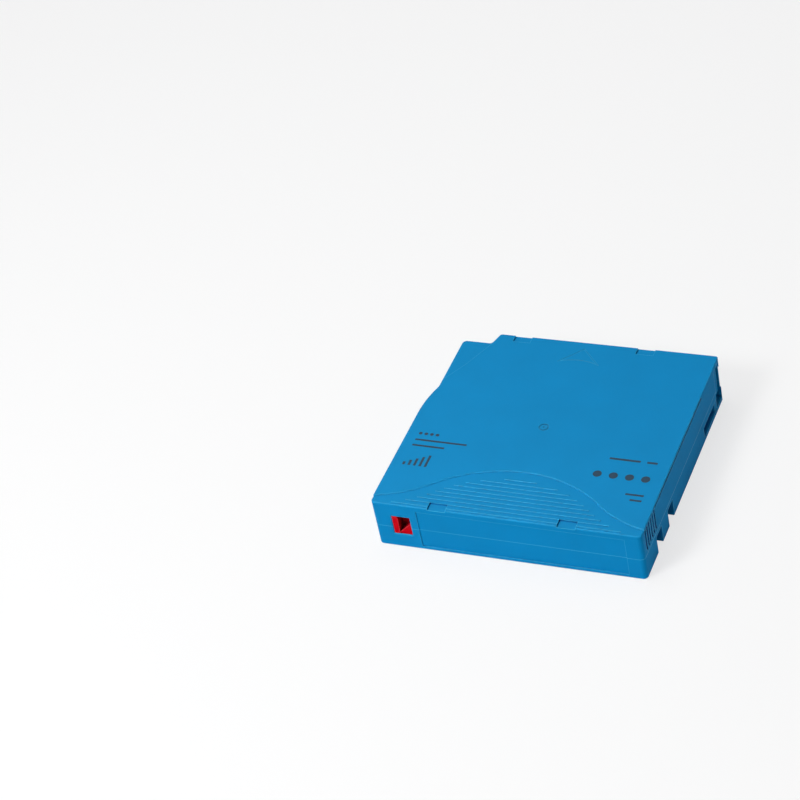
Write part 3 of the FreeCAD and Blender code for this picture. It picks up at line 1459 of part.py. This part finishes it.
def check_features(body):
    """Stop where a pad adds nothing or a pocket cuts nothing."""
    volume = 0.0
    for feature in body.Group:
        if not hasattr(feature, "BaseFeature") or feature.TypeId == "Sketcher::SketchObject":
            continue
        change = feature.Shape.Volume - volume
        volume = feature.Shape.Volume
        if feature.TypeId.endswith("Pad") and change <= 0:
            raise RuntimeError("%s.%s adds nothing" % (body.Name, feature.Label))
        if feature.TypeId.endswith("Pocket") and change >= 0:
            raise RuntimeError("%s.%s cuts nothing" % (body.Name, feature.Label))


PIECES = [
    upper_shell, lower_shell, case_screws, access_door, door_spring, write_protect_slide,
    memory_board, memory_chip, reel_hub, upper_flange, drive_plate, tape_pack, tape_leader,
    leader_pin, tape_clip, pin_spring, brake_button, brake_spring, release_pad,
]


def main():
    """Build every piece, check it and write its file."""
    pieces = [build() for build in PIECES]
    DOC.recompute()
    check_states()
    for piece in pieces:
        if piece.TypeId == "PartDesign::Body":
            check_features(piece)
        if piece.Shape.isNull() or not piece.Shape.isValid():
            raise RuntimeError("%s has no valid shape" % piece.Label)
    os.makedirs("parts", exist_ok=True)
    for piece in pieces:
        piece.Shape.exportStep("parts/%s.step" % piece.Label)
        count = len(piece.Shape.Solids)
        print("%-20s %d solid(s) %9.1f mm3" % (piece.Label, count, piece.Shape.Volume))


main()
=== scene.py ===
"""Looks of the data tape cartridge: materials, printed marks, springs, light and camera.

Every object is in metres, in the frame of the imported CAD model.
"""
import math

import bmesh
import bpy
from mathutils import Matrix, Vector


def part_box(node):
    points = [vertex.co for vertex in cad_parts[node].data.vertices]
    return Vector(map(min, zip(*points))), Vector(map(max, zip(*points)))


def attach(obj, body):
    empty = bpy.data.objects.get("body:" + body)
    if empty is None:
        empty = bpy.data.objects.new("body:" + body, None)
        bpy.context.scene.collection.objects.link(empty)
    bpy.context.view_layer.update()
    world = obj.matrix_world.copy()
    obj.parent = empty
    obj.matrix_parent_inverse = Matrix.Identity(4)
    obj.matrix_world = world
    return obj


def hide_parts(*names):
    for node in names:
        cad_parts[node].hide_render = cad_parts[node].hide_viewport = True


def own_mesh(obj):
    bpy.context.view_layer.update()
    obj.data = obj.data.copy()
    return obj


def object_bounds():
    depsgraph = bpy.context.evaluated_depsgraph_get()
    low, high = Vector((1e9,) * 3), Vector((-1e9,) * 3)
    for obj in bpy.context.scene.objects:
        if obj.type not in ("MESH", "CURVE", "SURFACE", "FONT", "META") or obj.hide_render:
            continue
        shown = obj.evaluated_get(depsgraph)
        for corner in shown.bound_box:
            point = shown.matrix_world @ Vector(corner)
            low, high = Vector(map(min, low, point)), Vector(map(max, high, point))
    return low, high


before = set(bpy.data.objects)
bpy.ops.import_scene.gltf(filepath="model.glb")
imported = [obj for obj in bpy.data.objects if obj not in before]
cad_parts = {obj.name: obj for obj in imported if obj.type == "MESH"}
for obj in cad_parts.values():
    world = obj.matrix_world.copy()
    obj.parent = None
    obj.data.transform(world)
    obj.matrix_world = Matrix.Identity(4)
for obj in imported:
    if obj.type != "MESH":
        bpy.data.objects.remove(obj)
cad_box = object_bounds()

MM = 0.001

# Colours, as linear red, green and blue; the edge colours are painted highlights, the recess
# colours painted shade.
BLUE = (0.0, 0.207, 0.477)
BLUE_EDGE_HIGHLIGHT = (0.06, 0.5, 0.7)
BLUE_RECESS_SHADE = (0.006, 0.007, 0.13)
BLUE_GLINT = (0.3, 0.9, 0.95)
RED = (0.5, 0.0, 0.007)
RED_EDGE_HIGHLIGHT = (1.0, 0.1, 0.12)
RED_RECESS_SHADE = (0.09, 0.0, 0.004)
RED_GLINT = (1.0, 0.12, 0.14)
WHITE = (0.72, 0.73, 0.74)
WHITE_EDGE_HIGHLIGHT = (0.8, 0.81, 0.82)
WHITE_RECESS_SHADE = (0.5, 0.51, 0.52)
GREY = (0.26, 0.27, 0.29)
GREY_EDGE_HIGHLIGHT = (0.36, 0.37, 0.39)
GREY_RECESS_SHADE = (0.1, 0.1, 0.11)
BLACK = (0.02, 0.02, 0.022)
BLACK_EDGE_HIGHLIGHT = (0.05, 0.05, 0.055)
BLACK_RECESS_SHADE = (0.01, 0.01, 0.01)
PLAIN_GLINT = (1.0, 1.0, 1.0)
CLEAR_BLUE = (0.86, 0.93, 0.96)
TAPE_DARK = (0.022, 0.017, 0.014)
TAPE_PALE = (0.05, 0.038, 0.03)
RESIST = (0.012, 0.11, 0.045)
TRACKS = (0.05, 0.24, 0.09)
INK = (0.028, 0.05, 0.085)
PLATE_STEEL = (0.64, 0.65, 0.67)
SCREW_ZINC = (0.6, 0.62, 0.66)
SPRING_STEEL = (0.5, 0.51, 0.53)

# Moulded plastic. Scales of noise are in cells a metre.
DRIFT_SCALE = 60.0
DRIFT_START, DRIFT_END = 0.3, 0.7
DRIFT_DARK, DRIFT_PALE = 0.97, 1.03
EDGE_REACH = 0.25 * MM
FREE_AT_EDGE, FREE_ON_FACE = 0.8, 0.98
# Share of the painted highlight on outer edges.
EDGE_HIGHLIGHT_SHARE = 0.35
EDGE_ROUGHNESS = 0.34
# Reach and thresholds of the painted shade in recesses.
RECESS_REACH = 8.0 * MM
BLUE_DARK_FROM = 0.26
RED_DARK_FROM = 0.1
DARK_SPAN = 0.32
SATIN_SCALE = 900.0
SATIN_LOW, SATIN_HIGH = 0.66, 0.74
SATIN_GLOSS = 0.08
GRAIN_SCALE = 9000.0
GRAIN_DEPTH = 0.01 * MM
EDGE_ROUNDING = 0.13 * MM

# Metal, clear plastic, tape, board and ink.
METAL_DARK, METAL_PALE = 0.9, 1.05
METAL_SMOOTHER, METAL_ROUGHER = 0.06, 0.1
SCRATCH_SCALE = 2500.0
SCRATCH_DEPTH = 0.004 * MM
METAL_ROUNDING = 0.08 * MM
CLEAR_SATIN_SCALE, CLEAR_WAVE_SCALE = 400.0, 700.0
CLEAR_WAVE_DEPTH = 0.004 * MM
CLEAR_LOW, CLEAR_HIGH = 0.06, 0.16
TAPE_LOW, TAPE_HIGH = 0.2, 0.34
TURN_SCALE = 900.0
TURN_WANDER = 2.0
TURN_DEPTH = 0.01 * MM
TRACK_SCALE = 700.0
TRACK_DEPTH = 0.02 * MM
INK_SCALE = 5000.0
INK_DARK, INK_PALE = 0.85, 1.25
INK_LOW, INK_HIGH = 0.72, 0.82
INK_GLOSS = 0.06
INK_DEPTH = 0.003 * MM

# Springs: wire thickness, in metres, and turns; flat lengths in each turn.
DOOR_WIRE, DOOR_TURNS = 0.3 * MM, 9
BRAKE_WIRE, BRAKE_TURNS = 0.7 * MM, 4
TURN_STEPS = 28

# Printed marks, in millimetres. A line has its left end, its height on the roof and its length.
LEFT_BLOCK = -48.0
LEFT_LINES = ((LEFT_BLOCK, -15.0, 21.0), (LEFT_BLOCK, -18.2, 13.0))
RIGHT_HEAD_LINES = ((29.0, -12.6, 12.0), (43.5, -12.6, 4.0))
RIGHT_FOOT_LINES = ((40.5, -30.4, 7.0), (43.0, -33.2, 4.5))
SMALL_DOTS = {"x": -47.1, "y": -11.4, "pitch": 2.3, "radius": 0.75}
LARGE_DOTS = {"x": 27.0, "y": -21.6, "pitch": 6.2, "radius": 1.7}
DOTS_IN_ROW = 4
DOT_CORNERS = 24
THIN_LINE, THICK_LINE = 0.9, 1.0
STAIR_FOOT, STAIR_PITCH, STAIR_WIDE = -29.4, 2.2, 1.0
STAIR_FIRST, STAIR_RISE, STAIR_COUNT = 1.6, 1.2, 5
INK_SUNK = 0.02 * MM
INK_THICK = 0.05 * MM

# Floor, surround and camera.
FLOOR_SIZE, FLOOR_DROP = 6.0, 0.0002
FLOOR_TONE, FLOOR_GLOW = 0.8, 0.7
AMBIENT, AMBIENT_BLUE = 0.33, 0.33 * 1.02
PHOTO_PIXELS = 800
SENSOR_WIDTH = 36.0
NEAREST = 0.01

# Sockets of Blender's Mix node for two colours, which share their names with others.
FIRST_COLOUR, SECOND_COLOUR, MIXED_COLOUR = 6, 7, 2


# ---------------------------------------------------------------------------------------
# shader building
# ---------------------------------------------------------------------------------------
class Shader:
    """A node material that is put together one node at a time."""

    def __init__(self, name):
        self.material = bpy.data.materials.new(name)
        self.material.use_nodes = True
        self.tree = self.material.node_tree
        self.surface = self.tree.nodes["Principled BSDF"]

    def node(self, kind, settings=(), **inputs):
        """Add a node, with its settings and with values or sockets for its inputs."""
        made = self.tree.nodes.new("ShaderNode" + kind)
        for key, value in dict(settings).items():
            setattr(made, key, value)
        for key, value in inputs.items():
            self.join(value, made.inputs[key.replace("_", " ")])
        return made

    def join(self, value, socket):
        """Link a socket to an input, or set the input's own value."""
        if isinstance(value, bpy.types.NodeSocket):
            self.tree.links.new(value, socket)
        else:
            socket.default_value = value

    def place(self):
        """Position on the object, in metres."""
        return self.node("TexCoord").outputs["Object"]

    def noise(self, scale, detail=2.0):
        """Noise in object space, from 0 to 1."""
        made = self.node("TexNoise", Vector=self.place(), Scale=scale, Detail=detail)
        return made.outputs["Fac"]

    def span(self, value, low, high, start=0.0, end=1.0):
        """Map a value from start..end to low..high."""
        made = self.node("MapRange")
        for index, item in enumerate((value, start, end, low, high)):
            self.join(item, made.inputs[index])
        return made.outputs[0]

    def blend(self, share, first, second):
        """A colour between two colours."""
        made = self.node("Mix", {"data_type": "RGBA"})
        self.join(share, made.inputs["Factor"])
        self.join(first, made.inputs[FIRST_COLOUR])
        self.join(second, made.inputs[SECOND_COLOUR])
        return made.outputs[MIXED_COLOUR]

    def free_space(self, reach, inside=False):
        """How free of other surface the space is within a reach, outside or inside."""
        settings = {"samples": 8, "only_local": True, "inside": inside}
        return self.node("AmbientOcclusion", settings, Distance=reach).outputs["AO"]

    def outer_edges(self, reach):
        """How much the surface is an outer edge or corner, from 0 to 1."""
        free = self.free_space(reach, inside=True)
        return self.span(free, 1.0, 0.0, FREE_AT_EDGE, FREE_ON_FACE)

    def relief(self, height, depth, round_radius=None):
        """Bump from a height map, over edges rounded by a radius."""
        bump = self.node("Bump", Height=height, Distance=depth)
        if round_radius:
            soft = self.node("Bevel", {"samples": 4}, Radius=round_radius)
            self.join(soft.outputs["Normal"], bump.inputs["Normal"])
        self.join(bump.outputs["Normal"], self.surface.inputs["Normal"])

    def set(self, **inputs):
        """Set or link inputs of the surface shader."""
        for key, value in inputs.items():
            self.join(value, self.surface.inputs[key.replace("_", " ")])


def rgba(colour, gain=1.0):
    """A colour with alpha 1, brighter or darker by a factor."""
    return tuple(min(channel * gain, 1.0) for channel in colour) + (1.0,)


def moulded(name, colour, edge_highlight_colour, recess_shade_colour, glint_colour, dark_from=BLUE_DARK_FROM):
    """Satin moulded plastic, finely grained, with a painted highlight on its outer edges and
    painted shade in its recesses.
    """
    shader = Shader(name)
    drift = shader.span(shader.noise(DRIFT_SCALE, 3.0), 0.0, 1.0, DRIFT_START, DRIFT_END)
    tone = shader.blend(drift, rgba(colour, DRIFT_DARK), rgba(colour, DRIFT_PALE))
    edges = shader.outer_edges(EDGE_REACH)
    # Painted highlight: outer edges and corners are blended toward a paler colour that stands
    # in for light caught on them.
    pale = shader.blend(shader.span(edges, 0.0, EDGE_HIGHLIGHT_SHARE), tone, rgba(edge_highlight_colour))
    # Painted shade: the colour darkens toward the recess colour where little open space
    # surrounds the surface, in recesses, grooves and between parts.
    free = shader.free_space(RECESS_REACH)
    depth = shader.span(free, 1.0, 0.0, dark_from, dark_from + DARK_SPAN)
    shader.set(Base_Color=shader.blend(depth, pale, rgba(recess_shade_colour)))
    satin = shader.span(shader.noise(SATIN_SCALE), SATIN_LOW, SATIN_HIGH)
    shader.set(Roughness=shader.span(edges, satin, EDGE_ROUGHNESS))
    shader.set(Specular_IOR_Level=SATIN_GLOSS, Specular_Tint=rgba(glint_colour))
    shader.relief(shader.noise(GRAIN_SCALE, 3.0), GRAIN_DEPTH, EDGE_ROUNDING)
    return shader.material


def metal(name, colour, rough):
    """Plain metal with fine scratches."""
    shader = Shader(name)
    scratches = shader.noise(SCRATCH_SCALE, 4.0)
    shader.set(Metallic=1.0)
    dark, pale = rgba(colour, METAL_DARK), rgba(colour, METAL_PALE)
    shader.set(Base_Color=shader.blend(scratches, dark, pale))
    low, high = rough - METAL_SMOOTHER, rough + METAL_ROUGHER
    shader.set(Roughness=shader.span(scratches, low, high))
    shader.relief(scratches, SCRATCH_DEPTH, METAL_ROUNDING)
    return shader.material


def clear_plastic(name):
    """Clear, faintly blue moulded plastic."""
    shader = Shader(name)
    shader.set(Base_Color=rgba(CLEAR_BLUE))
    shader.set(Transmission_Weight=0.92, IOR=1.58)
    satin = shader.noise(CLEAR_SATIN_SCALE)
    shader.set(Roughness=shader.span(satin, CLEAR_LOW, CLEAR_HIGH))
    shader.relief(shader.noise(CLEAR_WAVE_SCALE), CLEAR_WAVE_DEPTH)
    return shader.material


def wound_tape(name, middle_x):
    """Dark wound tape: fine turns on its faces and a gloss on its outside."""
    shader = Shader(name)
    centred = shader.node("Mapping", Vector=shader.place(), Location=(-middle_x, 0, 0))
    rings = shader.node("TexWave", {"wave_type": "RINGS", "rings_direction": "Z"})
    shader.join(centred.outputs["Vector"], rings.inputs["Vector"])
    shader.join(TURN_SCALE, rings.inputs["Scale"])
    shader.join(TURN_WANDER, rings.inputs["Distortion"])
    turns = rings.outputs["Fac"]
    shader.set(Base_Color=shader.blend(turns, rgba(TAPE_DARK), rgba(TAPE_PALE)))
    shader.set(Roughness=shader.span(turns, TAPE_LOW, TAPE_HIGH))
    shader.relief(turns, TURN_DEPTH)
    return shader.material


def circuit_board(name):
    """Green solder resist with paler copper tracks under it."""
    shader = Shader(name)
    cells = shader.node("TexBrick", Scale=TRACK_SCALE, Vector=shader.place())
    tracks = cells.outputs["Fac"]
    shader.set(Base_Color=shader.blend(tracks, rgba(RESIST), rgba(TRACKS)))
    shader.set(Roughness=0.32)
    shader.relief(tracks, TRACK_DEPTH)
    return shader.material


def printed_ink(name):
    """Matt pad-printed ink, a little uneven."""
    shader = Shader(name)
    cover = shader.noise(INK_SCALE)
    shader.set(Base_Color=shader.blend(cover, rgba(INK, INK_DARK), rgba(INK, INK_PALE)))
    shader.set(Roughness=shader.span(cover, INK_LOW, INK_HIGH))
    shader.set(Specular_IOR_Level=INK_GLOSS, Specular_Tint=rgba(BLUE_GLINT))
    shader.relief(cover, INK_DEPTH)
    return shader.material


def dress_nodes(spring):
    """Give every CAD node its material."""
    reel_low, reel_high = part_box("tape_pack")
    reel_x = (reel_low.x + reel_high.x) / 2
    case = moulded("case_blue_plastic", BLUE, BLUE_EDGE_HIGHLIGHT, BLUE_RECESS_SHADE, BLUE_GLINT)
    red = moulded("tab_red_plastic", RED, RED_EDGE_HIGHLIGHT, RED_RECESS_SHADE, RED_GLINT, RED_DARK_FROM)
    white = moulded("hub_white_plastic", WHITE, WHITE_EDGE_HIGHLIGHT, WHITE_RECESS_SHADE, PLAIN_GLINT)
    grey = moulded("brake_grey_plastic", GREY, GREY_EDGE_HIGHLIGHT, GREY_RECESS_SHADE, PLAIN_GLINT)
    chip = moulded("chip_black_resin", BLACK, BLACK_EDGE_HIGHLIGHT, BLACK_RECESS_SHADE, PLAIN_GLINT)
    materials = {
        case: ("upper_shell", "lower_shell", "access_door"),
        red: ("write_protect_slide",),
        white: ("reel_hub",),
        grey: ("brake_button", "release_pad", "tape_clip"),
        chip: ("memory_chip",),
        metal("plate_steel", PLATE_STEEL, rough=0.3): ("drive_plate", "leader_pin"),
        metal("screw_zinc", SCREW_ZINC, rough=0.34): ("case_screws",),
        spring: ("pin_spring",),
        wound_tape("tape_dark_coating", reel_x): ("tape_pack", "tape_leader"),
        clear_plastic("flange_clear_plastic"): ("upper_flange",),
        circuit_board("board_green_resist"): ("memory_board",),
    }
    for material, nodes in materials.items():
        for node in nodes:
            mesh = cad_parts[node].data
            for index in range(len(mesh.materials)):
                mesh.materials[index] = material


# ---------------------------------------------------------------------------------------
# springs
# ---------------------------------------------------------------------------------------
def coil_mesh(name, radius, wire, length, turns):
    """Mesh of a round-wire coil that stands on its origin along Z."""
    curve = bpy.data.curves.new(name, "CURVE")
    curve.dimensions = "3D"
    curve.bevel_depth = wire / 2
    curve.bevel_resolution = 3
    curve.use_fill_caps = True
    spline = curve.splines.new("POLY")
    count = turns * TURN_STEPS + 1
    spline.points.add(count - 1)
    rise = (length - wire) / (count - 1)
    for index in range(count):
        angle = 2 * math.pi * index / TURN_STEPS
        place = (radius * math.cos(angle), radius * math.sin(angle), wire / 2 + rise * index, 1)
        spline.points[index].co = place
    holder = bpy.data.objects.new(name + "_curve", curve)
    bpy.context.scene.collection.objects.link(holder)
    mesh = bpy.data.meshes.new_from_object(holder)
    bpy.data.objects.remove(holder)
    for face in mesh.polygons:
        face.use_smooth = True
    return mesh


def add_piece(name, mesh, material):
    """Link a mesh as a piece of the case, with its material."""
    piece = bpy.data.objects.new(name, mesh)
    bpy.context.scene.collection.objects.link(piece)
    piece.data.materials.clear()
    piece.data.materials.append(material)
    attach(piece, "case")
    return piece


def fine_spring(node, axis, wire, turns, material, fixed_end):
    """A finely wound coil in place of the plain one.

    fixed_end is 0 where the coil's lower end along the axis stays, and 1 where its upper does.
    """
    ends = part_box(node)
    low, high = ends
    length = high[axis] - low[axis]
    across = (axis + 1) % 3
    radius = (high[across] - low[across]) / 2 - wire / 2
    mesh = coil_mesh(node + "_coil", radius, wire, length, turns)
    if axis == 1:
        mesh.transform(Matrix.Rotation(-math.pi / 2, 4, "X"))
    start = (low + high) / 2
    anchor = start.copy()
    start[axis] = low[axis]
    anchor[axis] = ends[fixed_end][axis]
    mesh.transform(Matrix.Translation(start))
    piece = add_piece(node + "_coil", mesh, material)
    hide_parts(node)
    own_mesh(piece)


def add_springs(material):
    """Springs of the door, along Y, and of the brake, along Z."""
    fine_spring("door_spring", 1, DOOR_WIRE, DOOR_TURNS, material, 0)
    fine_spring("brake_spring", 2, BRAKE_WIRE, BRAKE_TURNS, material, 1)


# ---------------------------------------------------------------------------------------
# printed marks
# ---------------------------------------------------------------------------------------
def dot_row(x, y, pitch, radius):
    """Outlines of a row of round dots, in millimetres."""
    turns = [2 * math.pi * index / DOT_CORNERS for index in range(DOT_CORNERS)]
    rim = [(radius * math.cos(turn), radius * math.sin(turn)) for turn in turns]
    middles = [x + pitch * index for index in range(DOTS_IN_ROW)]
    return [[(middle + out, y + up) for out, up in rim] for middle in middles]


def bar(x, y, long, high):
    """Outline of a bar from its left end, at mid-height, in millimetres."""
    low, top = y - high / 2, y + high / 2
    return [(x, low), (x + long, low), (x + long, top), (x, top)]


def stairs():
    """Outlines of a row of rising bars, in millimetres."""
    outlines = []
    for index in range(STAIR_COUNT):
        high = STAIR_FIRST + STAIR_RISE * index
        x = LEFT_BLOCK + STAIR_PITCH * index
        outlines.append(bar(x, STAIR_FOOT + high / 2, STAIR_WIDE, high))
    return outlines


def mark_outlines():
    """Plain dots and bars where the real case is printed: a block at each side."""
    left = dot_row(**SMALL_DOTS)
    left += [bar(*line, THIN_LINE) for line in LEFT_LINES]
    left += stairs()
    right = [bar(*line, THICK_LINE) for line in RIGHT_HEAD_LINES]
    right += dot_row(**LARGE_DOTS)
    right += [bar(*line, THIN_LINE) for line in RIGHT_FOOT_LINES]
    return left + right


def add_print(material):
    """Ink marks on the roof, a hair proud of it."""
    foot = cad_box[1][2] - INK_SUNK
    form = bmesh.new()
    for outline in mark_outlines():
        rim = [form.verts.new((x * MM, y * MM, foot)) for x, y in outline]
        face = form.faces.new(rim)
        raised = bmesh.ops.extrude_face_region(form, geom=[face])
        upper = [item for item in raised["geom"] if isinstance(item, bmesh.types.BMVert)]
        bmesh.ops.translate(form, verts=upper, vec=(0, 0, INK_THICK))
    bmesh.ops.recalc_face_normals(form, faces=form.faces)
    mesh = bpy.data.meshes.new("print_marks")
    form.to_mesh(mesh)
    form.free()
    add_piece("print_marks", mesh, material)


# ---------------------------------------------------------------------------------------
# floor, light and camera
# ---------------------------------------------------------------------------------------
def rays_that_see(tree):
    """A socket that is 1 for the rays of the camera and those in gloss and glass."""
    path = tree.nodes.new("ShaderNodeLightPath")
    total = path.outputs["Is Camera Ray"]
    for ray in ("Is Glossy Ray", "Is Transmission Ray"):
        either = tree.nodes.new("ShaderNodeMath")
        either.operation = "MAXIMUM"
        tree.links.new(total, either.inputs[0])
        tree.links.new(path.outputs[ray], either.inputs[1])
        total = either.outputs[0]
    return total


def add_floor():
    """A plain pale floor that shows almost white and keeps the object's soft shadow."""
    bpy.ops.mesh.primitive_plane_add(size=FLOOR_SIZE, location=(0, 0, -FLOOR_DROP))
    floor = bpy.context.object
    floor.name = "floor"
    shader = Shader("floor_white")
    tree, surface = shader.tree, shader.surface
    shader.set(Base_Color=rgba((FLOOR_TONE,) * 3), Roughness=0.9, Specular_IOR_Level=0.1)
    glow = shader.node("Emission", Color=(1, 1, 1, 1), Strength=1.0)
    lit = shader.node("MixShader", Fac=FLOOR_GLOW)
    tree.links.new(surface.outputs[0], lit.inputs[1])
    tree.links.new(glow.outputs[0], lit.inputs[2])
    final = shader.node("MixShader", Fac=rays_that_see(tree))
    tree.links.new(surface.outputs[0], final.inputs[1])
    tree.links.new(lit.outputs[0], final.inputs[2])
    tree.links.new(final.outputs[0], tree.nodes["Material Output"].inputs["Surface"])
    floor.data.materials.append(shader.material)


def set_world():
    """An even pale surround that is white to the camera, in gloss and in glass."""
    world = bpy.data.worlds.new("studio")
    bpy.context.scene.world = world
    world.use_nodes = True
    tree = world.node_tree
    background = tree.nodes["Background"]
    background.inputs["Color"].default_value = (AMBIENT, AMBIENT, AMBIENT_BLUE, 1)
    white = tree.nodes.new("ShaderNodeBackground")
    white.inputs["Color"].default_value = (1, 1, 1, 1)
    mix = tree.nodes.new("ShaderNodeMixShader")
    tree.links.new(rays_that_see(tree), mix.inputs[0])
    tree.links.new(background.outputs[0], mix.inputs[1])
    tree.links.new(white.outputs[0], mix.inputs[2])
    tree.links.new(mix.outputs[0], tree.nodes["World Output"].inputs["Surface"])


def add_lamp(name, direction, distance, size, energy):
    """A soft square lamp that faces the object from a direction."""
    lamp = bpy.data.lights.new(name, "AREA")
    lamp.size = size
    lamp.energy = energy
    holder = bpy.data.objects.new(name, lamp)
    way = Vector(direction).normalized()
    holder.location = way * distance
    holder.rotation_euler = way.to_track_quat("Z", "Y").to_euler()
    bpy.context.scene.collection.objects.link(holder)
    return holder


def add_lamps():
    """Two soft lamps that light the object, and one that only its gloss shows."""
    key = add_lamp("key", (-0.38, -0.63, 0.68), distance=0.9, size=0.26, energy=5.2)
    top = add_lamp("top", (-0.25, 0.15, 1.0), distance=0.9, size=0.6, energy=2.4)
    glint = add_lamp("glint", (-0.38, -0.30, 0.88), distance=0.88, size=0.22, energy=75.0)
    key.visible_glossy = False
    top.visible_glossy = False
    glint.visible_diffuse = False


def add_camera(azimuth, elevation, roll, distance, shift_x, shift_y, focal_pixels):
    """The camera: its direction in degrees, distance and sideways shifts in metres."""
    az, el, lean = (math.radians(angle) for angle in (azimuth, elevation, roll))
    back = Vector((math.sin(az) * math.cos(el), -math.cos(az) * math.cos(el), math.sin(el)))
    level = Vector((math.cos(az), math.sin(az), 0))
    upward = back.cross(level)
    right = level * math.cos(lean) + upward * math.sin(lean)
    up = upward * math.cos(lean) - level * math.sin(lean)
    camera = bpy.data.cameras.new("camera")
    camera.sensor_width = SENSOR_WIDTH
    camera.lens = camera.sensor_width * focal_pixels / PHOTO_PIXELS
    camera.clip_start = NEAREST
    holder = bpy.data.objects.new("camera", camera)
    middle = Vector((0, 0, (cad_box[0][2] + cad_box[1][2]) / 2))
    place = middle + back * distance + right * shift_x + up * shift_y
    turn = Matrix((right, up, back)).transposed().to_4x4()
    holder.matrix_world = Matrix.Translation(place) @ turn
    bpy.context.scene.collection.objects.link(holder)
    bpy.context.scene.camera = holder


def main():
    """Build the looks around the frame."""
    spring = metal("spring_steel", SPRING_STEEL, rough=0.28)
    dress_nodes(spring)
    add_springs(spring)
    add_print(printed_ink("print_navy_ink"))
    add_floor()
    set_world()
    add_lamps()
    add_camera(
        azimuth=29.11,
        elevation=38.81,
        roll=-12.67,
        distance=0.9565,
        shift_x=-0.0571,
        shift_y=0.0185,
        focal_pixels=2519.0,
    )
    bpy.context.scene.view_settings.view_transform = "Standard"


main()
